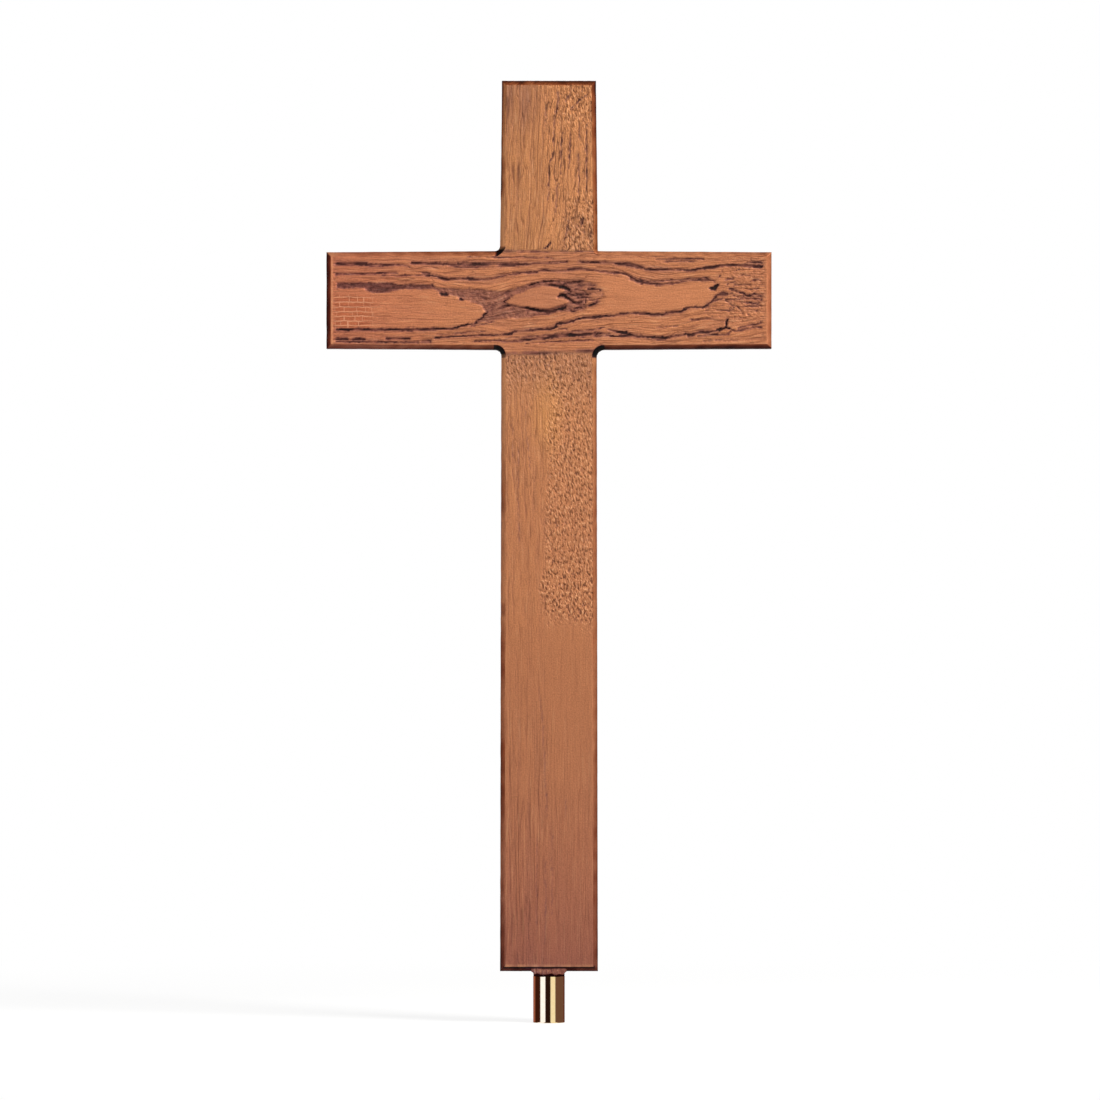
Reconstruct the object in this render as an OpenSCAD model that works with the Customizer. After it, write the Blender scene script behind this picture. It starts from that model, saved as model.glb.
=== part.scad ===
// Cast grave cross in wood-grain relief, on a round fixing pin.
// Millimetres. +Z is up, the carved front faces -Y, and the origin is the
// centre of the pin's lower end, where it meets the stone or the ground.

/* [Cross] */
// Height of the cross from its foot to its top, without the pin
cross_h = 600; // [500:10:800]
// Length of the crossbar from end to end
span_w = 300; // [240:10:400]
// Height of the crossbar's centre line above the foot
bar_centre_h = 452; // [380:2:540]
// Thickness from the front face to the back face
depth = 26; // [20:1:40]

/* [Arms] */
// Width of the upper arm at its top
top_end_w = 63.5; // [50:0.5:80]
// Width of the upper arm at the crossing
top_root_w = 66; // [52:0.5:80]
// Height of the crossbar at its ends
bar_end_h = 65; // [50:0.5:80]
// Height of the crossbar at the crossing
bar_root_h = 66.5; // [52:0.5:80]
// Width of the lower post at the crossing
post_root_w = 64.5; // [52:0.5:80]
// Width of the lower post at its foot
post_foot_w = 66; // [50:0.5:80]

/* [Edges] */
// Chamfer all round the front and the back face
edge_chamfer = 3; // [1:0.5:5]
// Radius of the inner corner under the right arm
lower_right_r = 5; // [0.5:0.5:8]
// Radius of the inner corner under the left arm
lower_left_r = 4; // [0.5:0.5:8]
// Radius of the inner corner over the left arm
upper_left_r = 3.5; // [0.5:0.5:8]
// Radius of the inner corner over the right arm
upper_right_r = 0.5; // [0.5:0.5:8]

/* [Pin] */
// Diameter of the round fixing pin
pin_d = 21.3; // [16:0.1:30]
// Length of pin and pad that stands out below the foot
pin_out = 35; // [20:1:120]
// Diameter of the turned-down spigot at the pin's upper end
spigot_d = 14; // [8:0.5:18]
// Length of the spigot, above the pin's shoulder
spigot_length = 22; // [10:1:60]
// Gap all round the spigot in its socket
spigot_clearance = 0.1; // [0.05:0.05:0.3]

/* [Pad] */
// Height of the cast pad between the foot and the pin's shoulder
pad_h = 3.5; // [2:0.5:8]
// Distance of the pad's front from the front face
pad_setback = 1; // [0.5:0.25:2.5]
// Fillet where the pad's sides meet the foot
pad_fillet = 1.5; // [0.5:0.25:1.75]

/* [Grain relief] */
// Depth of the grain lines on the crossbar
bar_grain_depth = 0.8; // [0.3:0.1:1.2]
// Depth of the grain lines on the upper arm and the post
post_grain_depth = 0.5; // [0.3:0.1:1]
// Width of a fine grain line
fine_line_w = 1.2; // [0.6:0.1:2]
// Plain border between the grain and the chamfer
border_w = 2.5; // [1:0.5:4]
// Number of grain lines on the upper arm
top_lines = 7; // [3:1:10]
// Number of grain lines on the lower post
post_lines = 6; // [3:1:10]
// Slope down to the left of the line under the crossbar
joint_slope = 2.6; // [0:0.2:4]

/* [Hidden] */

front_y = -depth / 2;
foot_z = pin_out;
top_z = foot_z + cross_h;
shoulder_z = foot_z - pad_h;
bar_z = foot_z + bar_centre_h;
bar_root_top = bar_z + bar_root_h / 2;
bar_root_bottom = bar_z - bar_root_h / 2;
cut_lead = 1;          // how far a cutter starts in front of the face
corner_steps = 6;      // facets of an inner corner
smooth_steps = 3;      // facets between two points of a grain line

// Grain lines of the crossbar. Each point is [along, across, width]: percent
// of the way from the centre to the edge of the grain, and width in mm.
BAR_LINES = [
    [[-98, 83, 2.4], [-73, 82, 2.6], [-60, 82, 1], [-47, 81, 2.4], [-13, 81, 3],
     [8, 86, 1.2], [22, 89, 1.6], [33, 84, 1], [43, 74, 1.6], [54, 68, 1.6],
     [70, 73, 1.2], [86, 79, 1.4], [98, 79, 3]],
    [[-98, 57, 1], [-60, 58, 1.2], [-48, 48, 1.6], [-28, 47, 1.2], [-14, 63, 0.9],
     [4, 67, 1], [20, 67, 0.9], [31, 61, 1.4], [40, 47, 2.2], [50, 35, 1.8],
     [61, 39, 1], [76, 48, 0.8]],
    [[-98, -67, 1.7], [-60, -68, 1.7], [-45, -65, 1.5], [-36, -52, 1.2], [-29, -28, 0.8]],
    [[-98, -91, 2.4], [-84, -92, 2]],
    [[-76, -87, 1], [-58, -86, 1.2]],
    [[-74, -95, 1], [-57, -95, 1.5]],
    [[-40, -62, 0.8], [-25, -48, 1]],
    [[-54, -87, 0.8], [-34, -81, 0.9], [-19, -76, 1.5], [-8, -67, 1.7], [3, -62, 1.2],
     [12, -46, 1.6], [22, -37, 1.7], [34, -35, 1.4], [40, -28, 1.2], [51, -32, 1.4],
     [63, -23, 1.2], [73, -6, 1], [78, 18, 0.8]],
    [[-24, -96, 1], [0, -84, 1.4], [16, -78, 1.4], [28, -73, 1], [40, -81, 1.6],
     [51, -87, 1.8], [61, -81, 1.4], [76, -70, 1.3], [89, -67, 1.4], [98, -53, 1]],
    [[84, 27, 1], [90, 14, 1.2], [98, 9, 1.4]]
];
// Sunk areas, each one closed outline in the same percentages: the band between
// the smooth islands, the notch at the tip of the right one, and a hooked crack.
SUNK_AREAS = [
    [[-98, 38], [-70, 36], [-51, 29], [-32, 24], [-14, 28], [-4, 36], [6, 40],
     [18, 46], [24, 34], [22, 0], [14, -18], [4, -33], [-8, -41], [-20, -47],
     [-27, -44], [-29, -27], [-32, -13], [-39, 0], [-44, 14], [-48, 10], [-51, 21],
     [-70, 24], [-76, 17], [-84, 18], [-87, 27], [-98, 27]],
    [[74, 26], [76, 24], [79, 31], [78, 36], [75, 34], [72, 36], [72, 33], [75, 31]],
    [[82, -44], [84, -44], [84, -59], [87, -66], [84, -68], [82, -66], [80, -70],
     [78, -69], [79, -64], [82, -62]]
];
EYE_ISLAND = [[-20, -11], [-17, 7], [-13, 18], [-7, 28], [6, 32], [9, 23],
              [5, 5], [10, -6], [5, -13], [-2, -21], [-9, -16]];

// The outline of the whole cross, foot left first, as [x, z].
function cross_outline() = [
    [-post_foot_w / 2, foot_z], [post_foot_w / 2, foot_z],
    [post_root_w / 2, bar_root_bottom], [span_w / 2, bar_z - bar_end_h / 2],
    [span_w / 2, bar_z + bar_end_h / 2], [top_root_w / 2, bar_root_top],
    [top_end_w / 2, top_z], [-top_end_w / 2, top_z],
    [-top_root_w / 2, bar_root_top], [-span_w / 2, bar_z + bar_end_h / 2],
    [-span_w / 2, bar_z - bar_end_h / 2], [-post_root_w / 2, bar_root_bottom]
];
// The radius of each corner of that outline; 0 is a sharp one.
CORNER_R = [0, 0, lower_right_r, 0, 0, upper_right_r,
            0, 0, upper_left_r, 0, 0, lower_left_r];

function unit(v) = v / norm(v);
function inward(p, q) = let (d = unit(q - p)) [-d[1], d[0]];

// An arc of radius r in the inner corner q, between its neighbours p and s.
function corner_arc(p, q, s, r) =
    let (a = unit(p - q), b = unit(s - q),
         half = acos(a * b) / 2,
         centre = q + unit(a + b) * r / sin(half),
         start = q + a * r / tan(half) - centre,
         sweep = 180 - 2 * half,
         turn = a[0] * b[1] - a[1] * b[0] > 0 ? -1 : 1)
    [for (i = [0 : corner_steps])
        let (t = turn * sweep * i / corner_steps)
        centre + [start[0] * cos(t) - start[1] * sin(t),
                  start[0] * sin(t) + start[1] * cos(t)]];

function rounded(points, radii) =
    let (n = len(points))
    [for (i = [0 : n - 1])
        each (radii[i] > 0
            ? corner_arc(points[(i + n - 1) % n], points[i], points[(i + 1) % n], radii[i])
            : [points[i]])];

// The same closed outline, moved inwards by d with mitred corners.
function inset(path, d) =
    let (n = len(path))
    [for (i = [0 : n - 1])
        let (a = inward(path[(i + n - 1) % n], path[i]),
             b = inward(path[i], path[(i + 1) % n]))
        path[i] + (a + b) * d / (1 + a * b)];

function at_depth(path, y) = [for (p = path) [p[0], y, p[1]]];

// A smooth curve through all the points given.
function smooth(points) =
    let (last = len(points) - 1)
    [for (i = [0 : last - 1], k = [0 : smooth_steps - 1])
        let (a = points[max(i - 1, 0)], b = points[i],
             c = points[i + 1], d = points[min(i + 2, last)], t = k / smooth_steps)
        (2 * b + (c - a) * t + (2 * a - 5 * b + 4 * c - d) * t * t
            + (3 * b - a - 3 * c + d) * t * t * t) / 2,
     points[last]];

// From percent of the crossbar's grain field to [x, z].
function on_bar(p) = [
    p[0] / 100 * (span_w / 2 - edge_chamfer - border_w),
    bar_z + p[1] / 100 * (bar_end_h / 2 - edge_chamfer)
];

// A grain line of varying width, as a closed outline.
function line_outline(points) =
    let (path = smooth([for (p = points) [each on_bar(p), p[2]]]), n = len(path) - 1)
    concat([for (p = path) [p[0], p[1] - p[2] / 2]],
           [for (i = [n : -1 : 0]) [path[i][0], path[i][1] + path[i][2] / 2]]);

// The chamfered body: four rings of the same outline, and a fan of triangles
// from the middle of the crossing over the front face and over the back face.
module body_blank() {
    edge = rounded(cross_outline(), CORNER_R);
    face = inset(edge, edge_chamfer);
    n = len(edge);
    polyhedron(
        points = concat(at_depth(face, front_y), at_depth(edge, front_y + edge_chamfer),
                        at_depth(edge, -front_y - edge_chamfer), at_depth(face, -front_y),
                        [[0, front_y, bar_z], [0, -front_y, bar_z]]),
        faces = concat(
            [for (i = [0 : n - 1]) [4 * n, (i + 1) % n, i]],
            [for (ring = [0 : 2], i = [0 : n - 1])
                [ring * n + i, ring * n + (i + 1) % n,
                 (ring + 1) * n + (i + 1) % n, (ring + 1) * n + i]],
            [for (i = [0 : n - 1]) [4 * n + 1, 3 * n + i, 3 * n + (i + 1) % n]]),
        convexity = 6);
}

// A cutter of the flat shape given, sunk to cut_depth behind the front face.
module front_cut(cut_depth) {
    translate([0, front_y + cut_depth, 0])
        rotate([90, 0, 0])
            linear_extrude(cut_depth + cut_lead)
                children();
}

module bar_grain() {
    for (line = BAR_LINES)
        front_cut(bar_grain_depth)
            polygon(line_outline(line));
    for (area = SUNK_AREAS)
        front_cut(bar_grain_depth)
            difference() {
                polygon([for (p = area) on_bar(p)]);
                polygon([for (p = EYE_ISLAND) on_bar(p)]);
            }
}

// Upright grain lines between two heights, spread over the width w.
module upright_grain(count, z_low, z_high, w) {
    room = z_high - z_low;
    for (i = [0 : count - 1]) {
        x = w * ((i + 0.5) / count - 0.5);
        low = z_low + room * (0.12 + 0.1 * sin(i * 151));
        high = z_high - room * (0.14 + 0.11 * sin(i * 97 + 40));
        line = [for (k = [0 : 5])
            [x + 1.2 * sin(i * 77 + k * 71), low + (high - low) * k / 5]];
        path = smooth(line);
        n = len(path) - 1;
        front_cut(post_grain_depth)
            polygon(concat(path, [for (k = [n - 1 : -1 : 1])
                path[k] + [fine_line_w * sin(180 * k / n), 0]]));
    }
}

// The lines where the crossbar's grain ends against the upper arm and the post.
module joint_lines() {
    reach_up = top_root_w / 2 - edge_chamfer - border_w;
    reach_down = post_root_w / 2 - edge_chamfer - border_w;
    front_cut(post_grain_depth)
        translate([-reach_up, bar_root_top - fine_line_w / 2])
            square([2 * reach_up, fine_line_w]);
    front_cut(post_grain_depth)
        translate([0, bar_root_bottom - fine_line_w])
            polygon([[-reach_down, -joint_slope], [reach_down, 0],
                     [reach_down, fine_line_w], [-reach_down, fine_line_w - joint_slope]]);
}

// The pad under the foot, flared where it meets it and let into the chamfer.
module pad() {
    half = pin_d / 2;
    pad_d = depth - 2 * pad_setback;
    side = [[half, -pad_h], [half, -pad_fillet], [half + pad_fillet, 0],
            [half + pad_fillet, edge_chamfer + 1]];
    translate([0, pad_d / 2, foot_z])
        rotate([90, 0, 0])
            linear_extrude(pad_d)
                polygon(concat(side, [for (i = [3 : -1 : 0]) [-side[i][0], side[i][1]]]));
}

module cross() {
    grain_w = top_end_w - 2 * (edge_chamfer + border_w);
    color([0.62, 0.38, 0.25])
        difference() {
            union() {
                body_blank();
                pad();
            }
            union() {
                bar_grain();
                upright_grain(top_lines, bar_root_top, top_z - edge_chamfer, grain_w);
                upright_grain(post_lines, foot_z + edge_chamfer,
                              bar_root_bottom - joint_slope - fine_line_w, grain_w);
                joint_lines();
            }
            translate([0, 0, shoulder_z - cut_lead])
                cylinder(d = spigot_d + 2 * spigot_clearance,
                         h = spigot_length + cut_lead, $fn = 96);
        }
}

// The pin, with its shoulder against the pad and its spigot up in the socket.
module fixing_pin() {
    color([0.83, 0.62, 0.36]) {
        cylinder(d = pin_d, h = shoulder_z, $fn = 96);
        cylinder(d = spigot_d, h = shoulder_z + spigot_length, $fn = 96);
    }
}

cross();
fixing_pin();
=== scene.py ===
import math

import bpy
import numpy as np
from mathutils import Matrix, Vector


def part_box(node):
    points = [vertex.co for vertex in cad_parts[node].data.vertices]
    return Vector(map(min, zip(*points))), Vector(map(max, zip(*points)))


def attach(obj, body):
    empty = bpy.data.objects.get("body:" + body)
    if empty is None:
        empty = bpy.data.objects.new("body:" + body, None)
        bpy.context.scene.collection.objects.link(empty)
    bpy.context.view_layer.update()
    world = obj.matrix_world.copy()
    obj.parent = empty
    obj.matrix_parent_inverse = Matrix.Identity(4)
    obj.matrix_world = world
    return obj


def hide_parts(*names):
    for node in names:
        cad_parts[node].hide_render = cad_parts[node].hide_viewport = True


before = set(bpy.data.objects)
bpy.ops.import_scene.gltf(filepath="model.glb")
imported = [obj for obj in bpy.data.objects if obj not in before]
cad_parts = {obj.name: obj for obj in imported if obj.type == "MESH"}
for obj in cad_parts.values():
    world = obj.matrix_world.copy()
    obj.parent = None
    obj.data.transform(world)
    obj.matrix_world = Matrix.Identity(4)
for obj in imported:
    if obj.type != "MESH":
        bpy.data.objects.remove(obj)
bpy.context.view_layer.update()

MM = 0.001

# ---------------------------------------------------------------- sizes
# Lengths in millimetres unless a name says otherwise.
ARRIS = 0.33            # how far a softened arris reaches to each side of its edge
POST_COLUMNS = 88       # cells across the post and the upper arm
BAR_ROWS = 88           # cells across the crossbar
ARM_COLUMNS = 168       # cells along each half of the crossbar
POST_ROWS = 300         # cells down the lower post
TOP_ROWS = 96           # cells up the upper arm
BACK_STEP = 4           # the back has every fourth cell of the front
ROUGH_REACH = 190       # length of the rough bark below the crossbar
ROUGH_ROW_SHARE = 0.62  # share of the post's rows that lie in that length
BAR_HALF = 33.25        # half height of the crossbar at the crossing
GRAIN_EDGE = 2.2        # plain border between the grain and the chamfer
GRAIN_END = 2.6         # plain border at the ends of the crossbar's drawn lines
GRAIN_HALF = 29.5       # half height of the crossbar's drawn lines
CRAZE_ROW = 2.45        # from one row of the left end's crazing to the next
LINE_CUT = 1.05         # how deep the crossbar's drawn lines are
BAND_CUT = 0.75         # how deep its sunk band is
JOINT_CUT = 0.6         # how deep the lines over and under the crossbar are
PAD_SETBACK = 1.0       # from the front face to the pad's front
PAD_FLARE = 1.5         # how far its sides spread where they meet the foot
PAD_RISE = 3.0          # how far it runs up into the casting
PAD_CORNER = 0.7        # how round its upright corners are
# the dark line round the lower inner corners is painted shade
TURN_RADIUS = 4.5       # radius of the dark line round the lower inner corners


def smoothstep(low, high, value):
    """0 up to low, 1 from high on, and a soft rise between."""
    t = np.clip((value - low) / (high - low), 0, 1)
    return t * t * (3 - 2 * t)


def fades(low, high, value):
    """1 up to low, 0 from high on, and a soft fall between."""
    return 1 - smoothstep(low, high, value)


def near(gap, width):
    """1 where the gap is nothing, fading over the width to both sides."""
    return np.exp(-(gap / width) ** 2)


# ---------------------------------------------------------------- colours and nodes
def srgb(red, green, blue):
    """A display colour, 0 to 255, as the linear colour that a shader takes."""
    def linear(value):
        c = value / 255
        return c / 12.92 if c <= 0.04045 else ((c + 0.055) / 1.055) ** 2.4
    return (linear(red), linear(green), linear(blue), 1.0)


def grey(level):
    return (level, level, level, 1.0)


WHITE = grey(1.0)


class Value:
    """A number that a node works out, ready for sums: each one adds a maths node."""

    def __init__(self, tree, socket):
        self.tree, self.socket = tree, socket

    def __add__(self, other):
        return calc(self.tree, "ADD", self, other)

    def __sub__(self, other):
        return calc(self.tree, "SUBTRACT", self, other)

    def __rsub__(self, other):
        return calc(self.tree, "SUBTRACT", other, self)

    def __mul__(self, other):
        return calc(self.tree, "MULTIPLY", self, other)

    def __truediv__(self, other):
        return calc(self.tree, "DIVIDE", self, other)

    def __rtruediv__(self, other):
        return calc(self.tree, "DIVIDE", other, self)

    def __abs__(self):
        return calc(self.tree, "ABSOLUTE", self)

    def floor(self):
        return calc(self.tree, "FLOOR", self)

    def fraction(self):
        return calc(self.tree, "FRACT", self)

    def most(self, other):
        return calc(self.tree, "MAXIMUM", self, other)

    def clamped(self):
        self.socket.node.use_clamp = True
        return self

    def remap(self, low, high, out_low=0.0, out_high=1.0, kind="SMOOTHSTEP"):
        node = put(self.tree, "ShaderNodeMapRange",
                   {"Value": self, "From Min": low, "From Max": high,
                    "To Min": out_low, "To Max": out_high}, interpolation_type=kind)
        return Value(self.tree, node.outputs["Result"])


def feed(node, inputs):
    """Feeds a node's inputs with values, sockets or plain numbers and colours."""
    for key, value in inputs.items():
        if isinstance(value, Value):
            value = value.socket
        if isinstance(value, bpy.types.NodeSocket):
            node.id_data.links.new(value, node.inputs[key])
        else:
            node.inputs[key].default_value = value


def put(tree, kind, inputs=None, **settings):
    """Adds a node with its settings, and feeds its inputs."""
    node = tree.nodes.new(kind)
    for name, value in settings.items():
        setattr(node, name, value)
    feed(node, inputs or {})
    return node


def calc(tree, operation, *values):
    node = put(tree, "ShaderNodeMath", dict(enumerate(values)), operation=operation)
    return Value(tree, node.outputs[0])


def joined(tree, x=0.0, y=0.0, z=0.0):
    return put(tree, "ShaderNodeCombineXYZ", {0: x, 1: y, 2: z}).outputs[0]


def noise(tree, place, detail, roughness=0.5, distortion=0.0, scale=1.0):
    node = put(tree, "ShaderNodeTexNoise",
               {"Vector": place, "Scale": scale, "Detail": detail,
                "Roughness": roughness, "Distortion": distortion})
    return Value(tree, node.outputs[0])


def object_place(tree):
    """The point's own place on the piece, in metres, whole and as x, y and z."""
    place = put(tree, "ShaderNodeTexCoord").outputs["Object"]
    axes = put(tree, "ShaderNodeSeparateXYZ", {0: place}).outputs
    return place, [Value(tree, axis) for axis in axes]


def length_of(tree, vector):
    node = put(tree, "ShaderNodeVectorMath", {0: vector}, operation="LENGTH")
    return Value(tree, node.outputs["Value"])


def mix_colour(tree, factor, first, second, blend="MIX"):
    node = put(tree, "ShaderNodeMix", {0: factor, 6: first, 7: second}, data_type="RGBA",
               blend_type=blend, clamp_result=False)
    return node.outputs[2]


def ramp(tree, factor, stops):
    node = put(tree, "ShaderNodeValToRGB", {"Fac": factor})
    points = node.color_ramp.elements
    while len(points) < len(stops):
        points.new(0.5)
    for point, (place, colour) in zip(points, stops):
        point.position = place
    for point, (place, colour) in zip(points, stops):
        point.color = colour
    return node.outputs["Color"]


def bare_material(name):
    """A material with nothing in it yet, and its tree."""
    material = bpy.data.materials.new(name)
    material.use_nodes = True
    material.node_tree.nodes.clear()
    return material, material.node_tree


def show(piece):
    bpy.context.scene.collection.objects.link(piece)
    return piece


# ---------------------------------------------------------------- the cross's outline, from the CAD
def cad_outline():
    """The outer outline of the cross as the CAD has it, in mm, foot left first and
    anticlockwise from the front, with the chamfer's width, the cross's lowest and
    highest corners and the height of the crossbar's middle."""
    close = 0.1
    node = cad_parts["cross"]
    points = np.array([v.co for v in node.data.vertices]) / MM
    low, high = (np.array(corner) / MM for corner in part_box("cross"))
    face = points[np.abs(points[:, 1] - low[1]) < close / 10]
    chamfer = high[0] - face[:, 0].max()
    ring = points[np.abs(np.abs(points[:, 1]) - (high[1] - chamfer)) < close / 10][:, [0, 2]]
    ring = np.unique(np.round(ring, 2), axis=0)
    at_foot = ring[:, 1] < ring[:, 1].min() + close
    foot_half = ring[at_foot, 0].max()
    ring = ring[~(at_foot & (np.abs(ring[:, 0]) < foot_half - close))]
    middle = ring[ring[:, 0] > high[0] - close, 1].mean()
    ring = ring[np.argsort(np.arctan2(ring[:, 1] - middle, ring[:, 0]))]
    foot_left = np.argmin(ring[:, 0] * 0.001 + ring[:, 1])
    return np.roll(ring, -foot_left, axis=0), chamfer, low, high, middle


OUTLINE, CHAMFER, LOW, HIGH, BAR_Z = cad_outline()
FRONT_Y, BACK_Y = LOW[1], HIGH[1]
DEPTH = BACK_Y - FRONT_Y
FOOT_Z, TOP_Z = OUTLINE[:, 1].min(), OUTLINE[:, 1].max()
SPAN_HALF = HIGH[0]
POST_HALF = OUTLINE[2, 0]              # half width of the post under the crossbar
ARC = (len(OUTLINE) - 8) // 4          # points of one inner corner
# Where the twelve sides of the face's blocks start, and how many cells each one has:
# from the foot's left end, once round the cross.
CORNERS = [0, 1, 2 + ARC // 2, 2 + ARC, 3 + ARC, 4 + ARC + ARC // 2,
           4 + 2 * ARC, 5 + 2 * ARC, 6 + 2 * ARC + ARC // 2, 6 + 3 * ARC,
           7 + 3 * ARC, 8 + 3 * ARC + ARC // 2]
SIDE_CELLS = [POST_COLUMNS, POST_ROWS, ARM_COLUMNS, BAR_ROWS, ARM_COLUMNS, TOP_ROWS,
              POST_COLUMNS, TOP_ROWS, ARM_COLUMNS, BAR_ROWS, ARM_COLUMNS, POST_ROWS]
END_SIDES, POST_SIDES, FROM_CORNER = (0, 3, 6, 9), (1, 11), (2, 5, 8, 11)


def inset(path, distance):
    """The closed outline moved inwards, with mitred corners."""
    ahead = np.roll(path, -1, axis=0) - path
    ahead /= np.linalg.norm(ahead, axis=1)[:, None]
    normal = np.stack([-ahead[:, 1], ahead[:, 0]], axis=1)
    before = np.roll(normal, 1, axis=0)
    return path + (before + normal) * distance / (1 + (before * normal).sum(1))[:, None]


def side_places(cells, corner_first, down_post):
    """Where the cells of one block side fall: a list of (edge number, share of it).
    Some short cells lie on the inner corner's arc, the rest on the straight edge."""
    arc_cells = ARC // 2
    straight = np.linspace(0, 1, cells - arc_cells + 1)
    if down_post:
        rough = ROUGH_REACH / (BAR_Z - BAR_HALF - FOOT_Z)
        plain_share = (straight - ROUGH_ROW_SHARE) / (1 - ROUGH_ROW_SHARE)
        straight = np.where(straight < ROUGH_ROW_SHARE, straight / ROUGH_ROW_SHARE * rough,
                            rough + plain_share * (1 - rough))
    if corner_first:
        arcs = [(edge, 0.0) for edge in range(arc_cells)]
        return arcs + [(arc_cells, s) for s in straight[:-1]]
    arcs = [(edge + 1, 0.0) for edge in range(arc_cells)]
    return [(0, s) for s in (1 - straight[::-1])[:-1]] + arcs


def loop_places():
    """Every sample round the outline, as (outline edge, share of that edge)."""
    places = []
    for side, (start, cells) in enumerate(zip(CORNERS, SIDE_CELLS)):
        if side in END_SIDES:
            places += [(start, s) for s in np.linspace(0, 1, cells + 1)[:-1]]
        else:
            places += [(start + e, s) for e, s in
                       side_places(cells, side in FROM_CORNER, side in POST_SIDES)]
    edges = np.array([e for e, _ in places]) % len(OUTLINE)
    return edges, np.array([s for _, s in places])


LOOP_EDGE, LOOP_SHARE = loop_places()


def ring(distance):
    path = inset(OUTLINE, distance)
    start, end = path[LOOP_EDGE], path[(LOOP_EDGE + 1) % len(path)]
    return start + (end - start) * LOOP_SHARE[:, None]


def coons(bottom, right, top, left):
    """A grid of points between four sides: bottom and top run left to right,
    left and right run upwards."""
    u = np.linspace(0, 1, len(bottom))[:, None, None]
    v = np.linspace(0, 1, len(left))[None, :, None]
    across = (1 - v) * bottom[:, None] + v * top[:, None]
    upward = (1 - u) * left[None] + u * right[None]
    flat = ((1 - u) * (1 - v) * bottom[0] + u * (1 - v) * bottom[-1]
            + (1 - u) * v * top[0] + u * v * top[-1])
    return across + upward - flat


def face_grid(loop, cells):
    """The five blocks of the front or back face, from the loop of its boundary."""
    starts = np.concatenate([[0], np.cumsum(cells)])
    closed = np.vstack([loop, loop[:1]])
    side = [closed[starts[i]:starts[i + 1] + 1] for i in range(12)]
    lower_right, upper_right, upper_left, lower_left = (side[i][-1] for i in (1, 4, 7, 10))

    def straight(a, b, count):
        return a + (b - a) * np.linspace(0, 1, count + 1)[:, None]

    under = straight(lower_left, lower_right, cells[0])
    over = straight(upper_left, upper_right, cells[0])
    right_joint = straight(lower_right, upper_right, cells[3])
    left_joint = straight(lower_left, upper_left, cells[3])
    return [coons(side[0], side[1], under, side[11][::-1]),
            coons(under, right_joint, over, left_joint),
            coons(side[2], side[3], side[4][::-1], right_joint),
            coons(over, side[5], side[6][::-1], side[7][::-1]),
            coons(side[10], left_joint, side[8][::-1], side[9][::-1])]


# ---------------------------------------------------------------- meshes
def quads(*corners):
    """Faces from four equally long lists of corners."""
    return np.stack(corners, axis=-1).reshape(-1, 4)


class Blank:
    """The points, in mm, and faces of the plain body as it grows."""

    def __init__(self):
        self.points, self.faces, self.count = [], [], 0

    def add(self, flat, y):
        """Adds points at one depth, and says the first one's number."""
        self.points.append(np.stack([flat[:, 0], np.full(len(flat), y), flat[:, 1]], axis=1))
        self.count += len(flat)
        return self.count - len(flat)

    def face(self, loop, cells, y, flip):
        for block in face_grid(loop, cells):
            wide, tall = block.shape[:2]
            first = self.add(block.reshape(-1, 2), y)
            i, j = np.meshgrid(np.arange(wide - 1), np.arange(tall - 1), indexing="ij")
            a = first + i * tall + j
            face = quads(a, a + tall, a + tall + 1, a + 1)
            self.faces.append(face[:, ::-1] if flip else face)

    def strip(self, first, distance, y, step):
        """A strip of faces from one ring to the next, which has as many points."""
        flat = ring(distance)[::step]
        second = self.add(flat, y)
        i = np.arange(len(flat))
        j = (i + 1) % len(flat)
        self.faces.append(quads(first + i, second + i, second + j, first + j))
        return second

    def halve(self, first, distance, y, step):
        """A strip of triangles to a ring with half as many points."""
        flat = ring(distance)[::step]
        second = self.add(flat, y)
        i = np.arange(len(flat))
        a, b, c = first + 2 * i, first + 2 * i + 1, first + (2 * i + 2) % (2 * len(flat))
        p, q = second + i, second + (i + 1) % len(flat)
        self.faces += [quads(a, p, b, b), quads(b, p, q, q), quads(b, q, c, c)]
        return second


def blank_mesh():
    """The plain chamfered body, with softened arrises: points in mm, and faces."""
    edge, slim, hair = CHAMFER + ARRIS, ARRIS * 0.7, 0.07
    side_row = edge + 2.4
    body = Blank()
    body.face(ring(edge), SIDE_CELLS, FRONT_Y, False)
    first = body.add(ring(edge), FRONT_Y)
    for distance, y in [(CHAMFER + 0.03, hair), (CHAMFER - slim, slim),
                        (CHAMFER / 2, CHAMFER / 2), (slim, CHAMFER - slim),
                        (hair, CHAMFER + 0.03), (0, edge)]:
        first = body.strip(first, distance, FRONT_Y + y, 1)
    first = body.halve(first, 0, FRONT_Y + side_row, 2)
    for distance, y in [(0, DEPTH / 2), (0, DEPTH - side_row), (0, DEPTH - edge),
                        (slim, DEPTH - CHAMFER + slim), (CHAMFER - slim, DEPTH - slim)]:
        first = body.strip(first, distance, FRONT_Y + y, 2)
    body.halve(first, edge, BACK_Y, BACK_STEP)
    body.face(ring(edge)[::BACK_STEP], [c // BACK_STEP for c in SIDE_CELLS], BACK_Y, True)

    points = np.vstack(body.points)
    _, kept, same = np.unique(np.round(points, 3), axis=0,
                              return_index=True, return_inverse=True)
    return points[kept], same.reshape(-1)[np.vstack(body.faces)]


def pin_sizes():
    """The pin's radius, its shoulder's height, its spigot's radius and its top, in mm."""
    radius, _, high = (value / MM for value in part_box("fixing_pin")[1])
    points = np.array([v.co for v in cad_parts["fixing_pin"].data.vertices]) / MM
    reach = np.hypot(points[:, 0], points[:, 1])
    return (radius, points[reach > radius - 0.1, 2].max(),
            reach[points[:, 2] > high - 0.1].max(), high)


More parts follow.
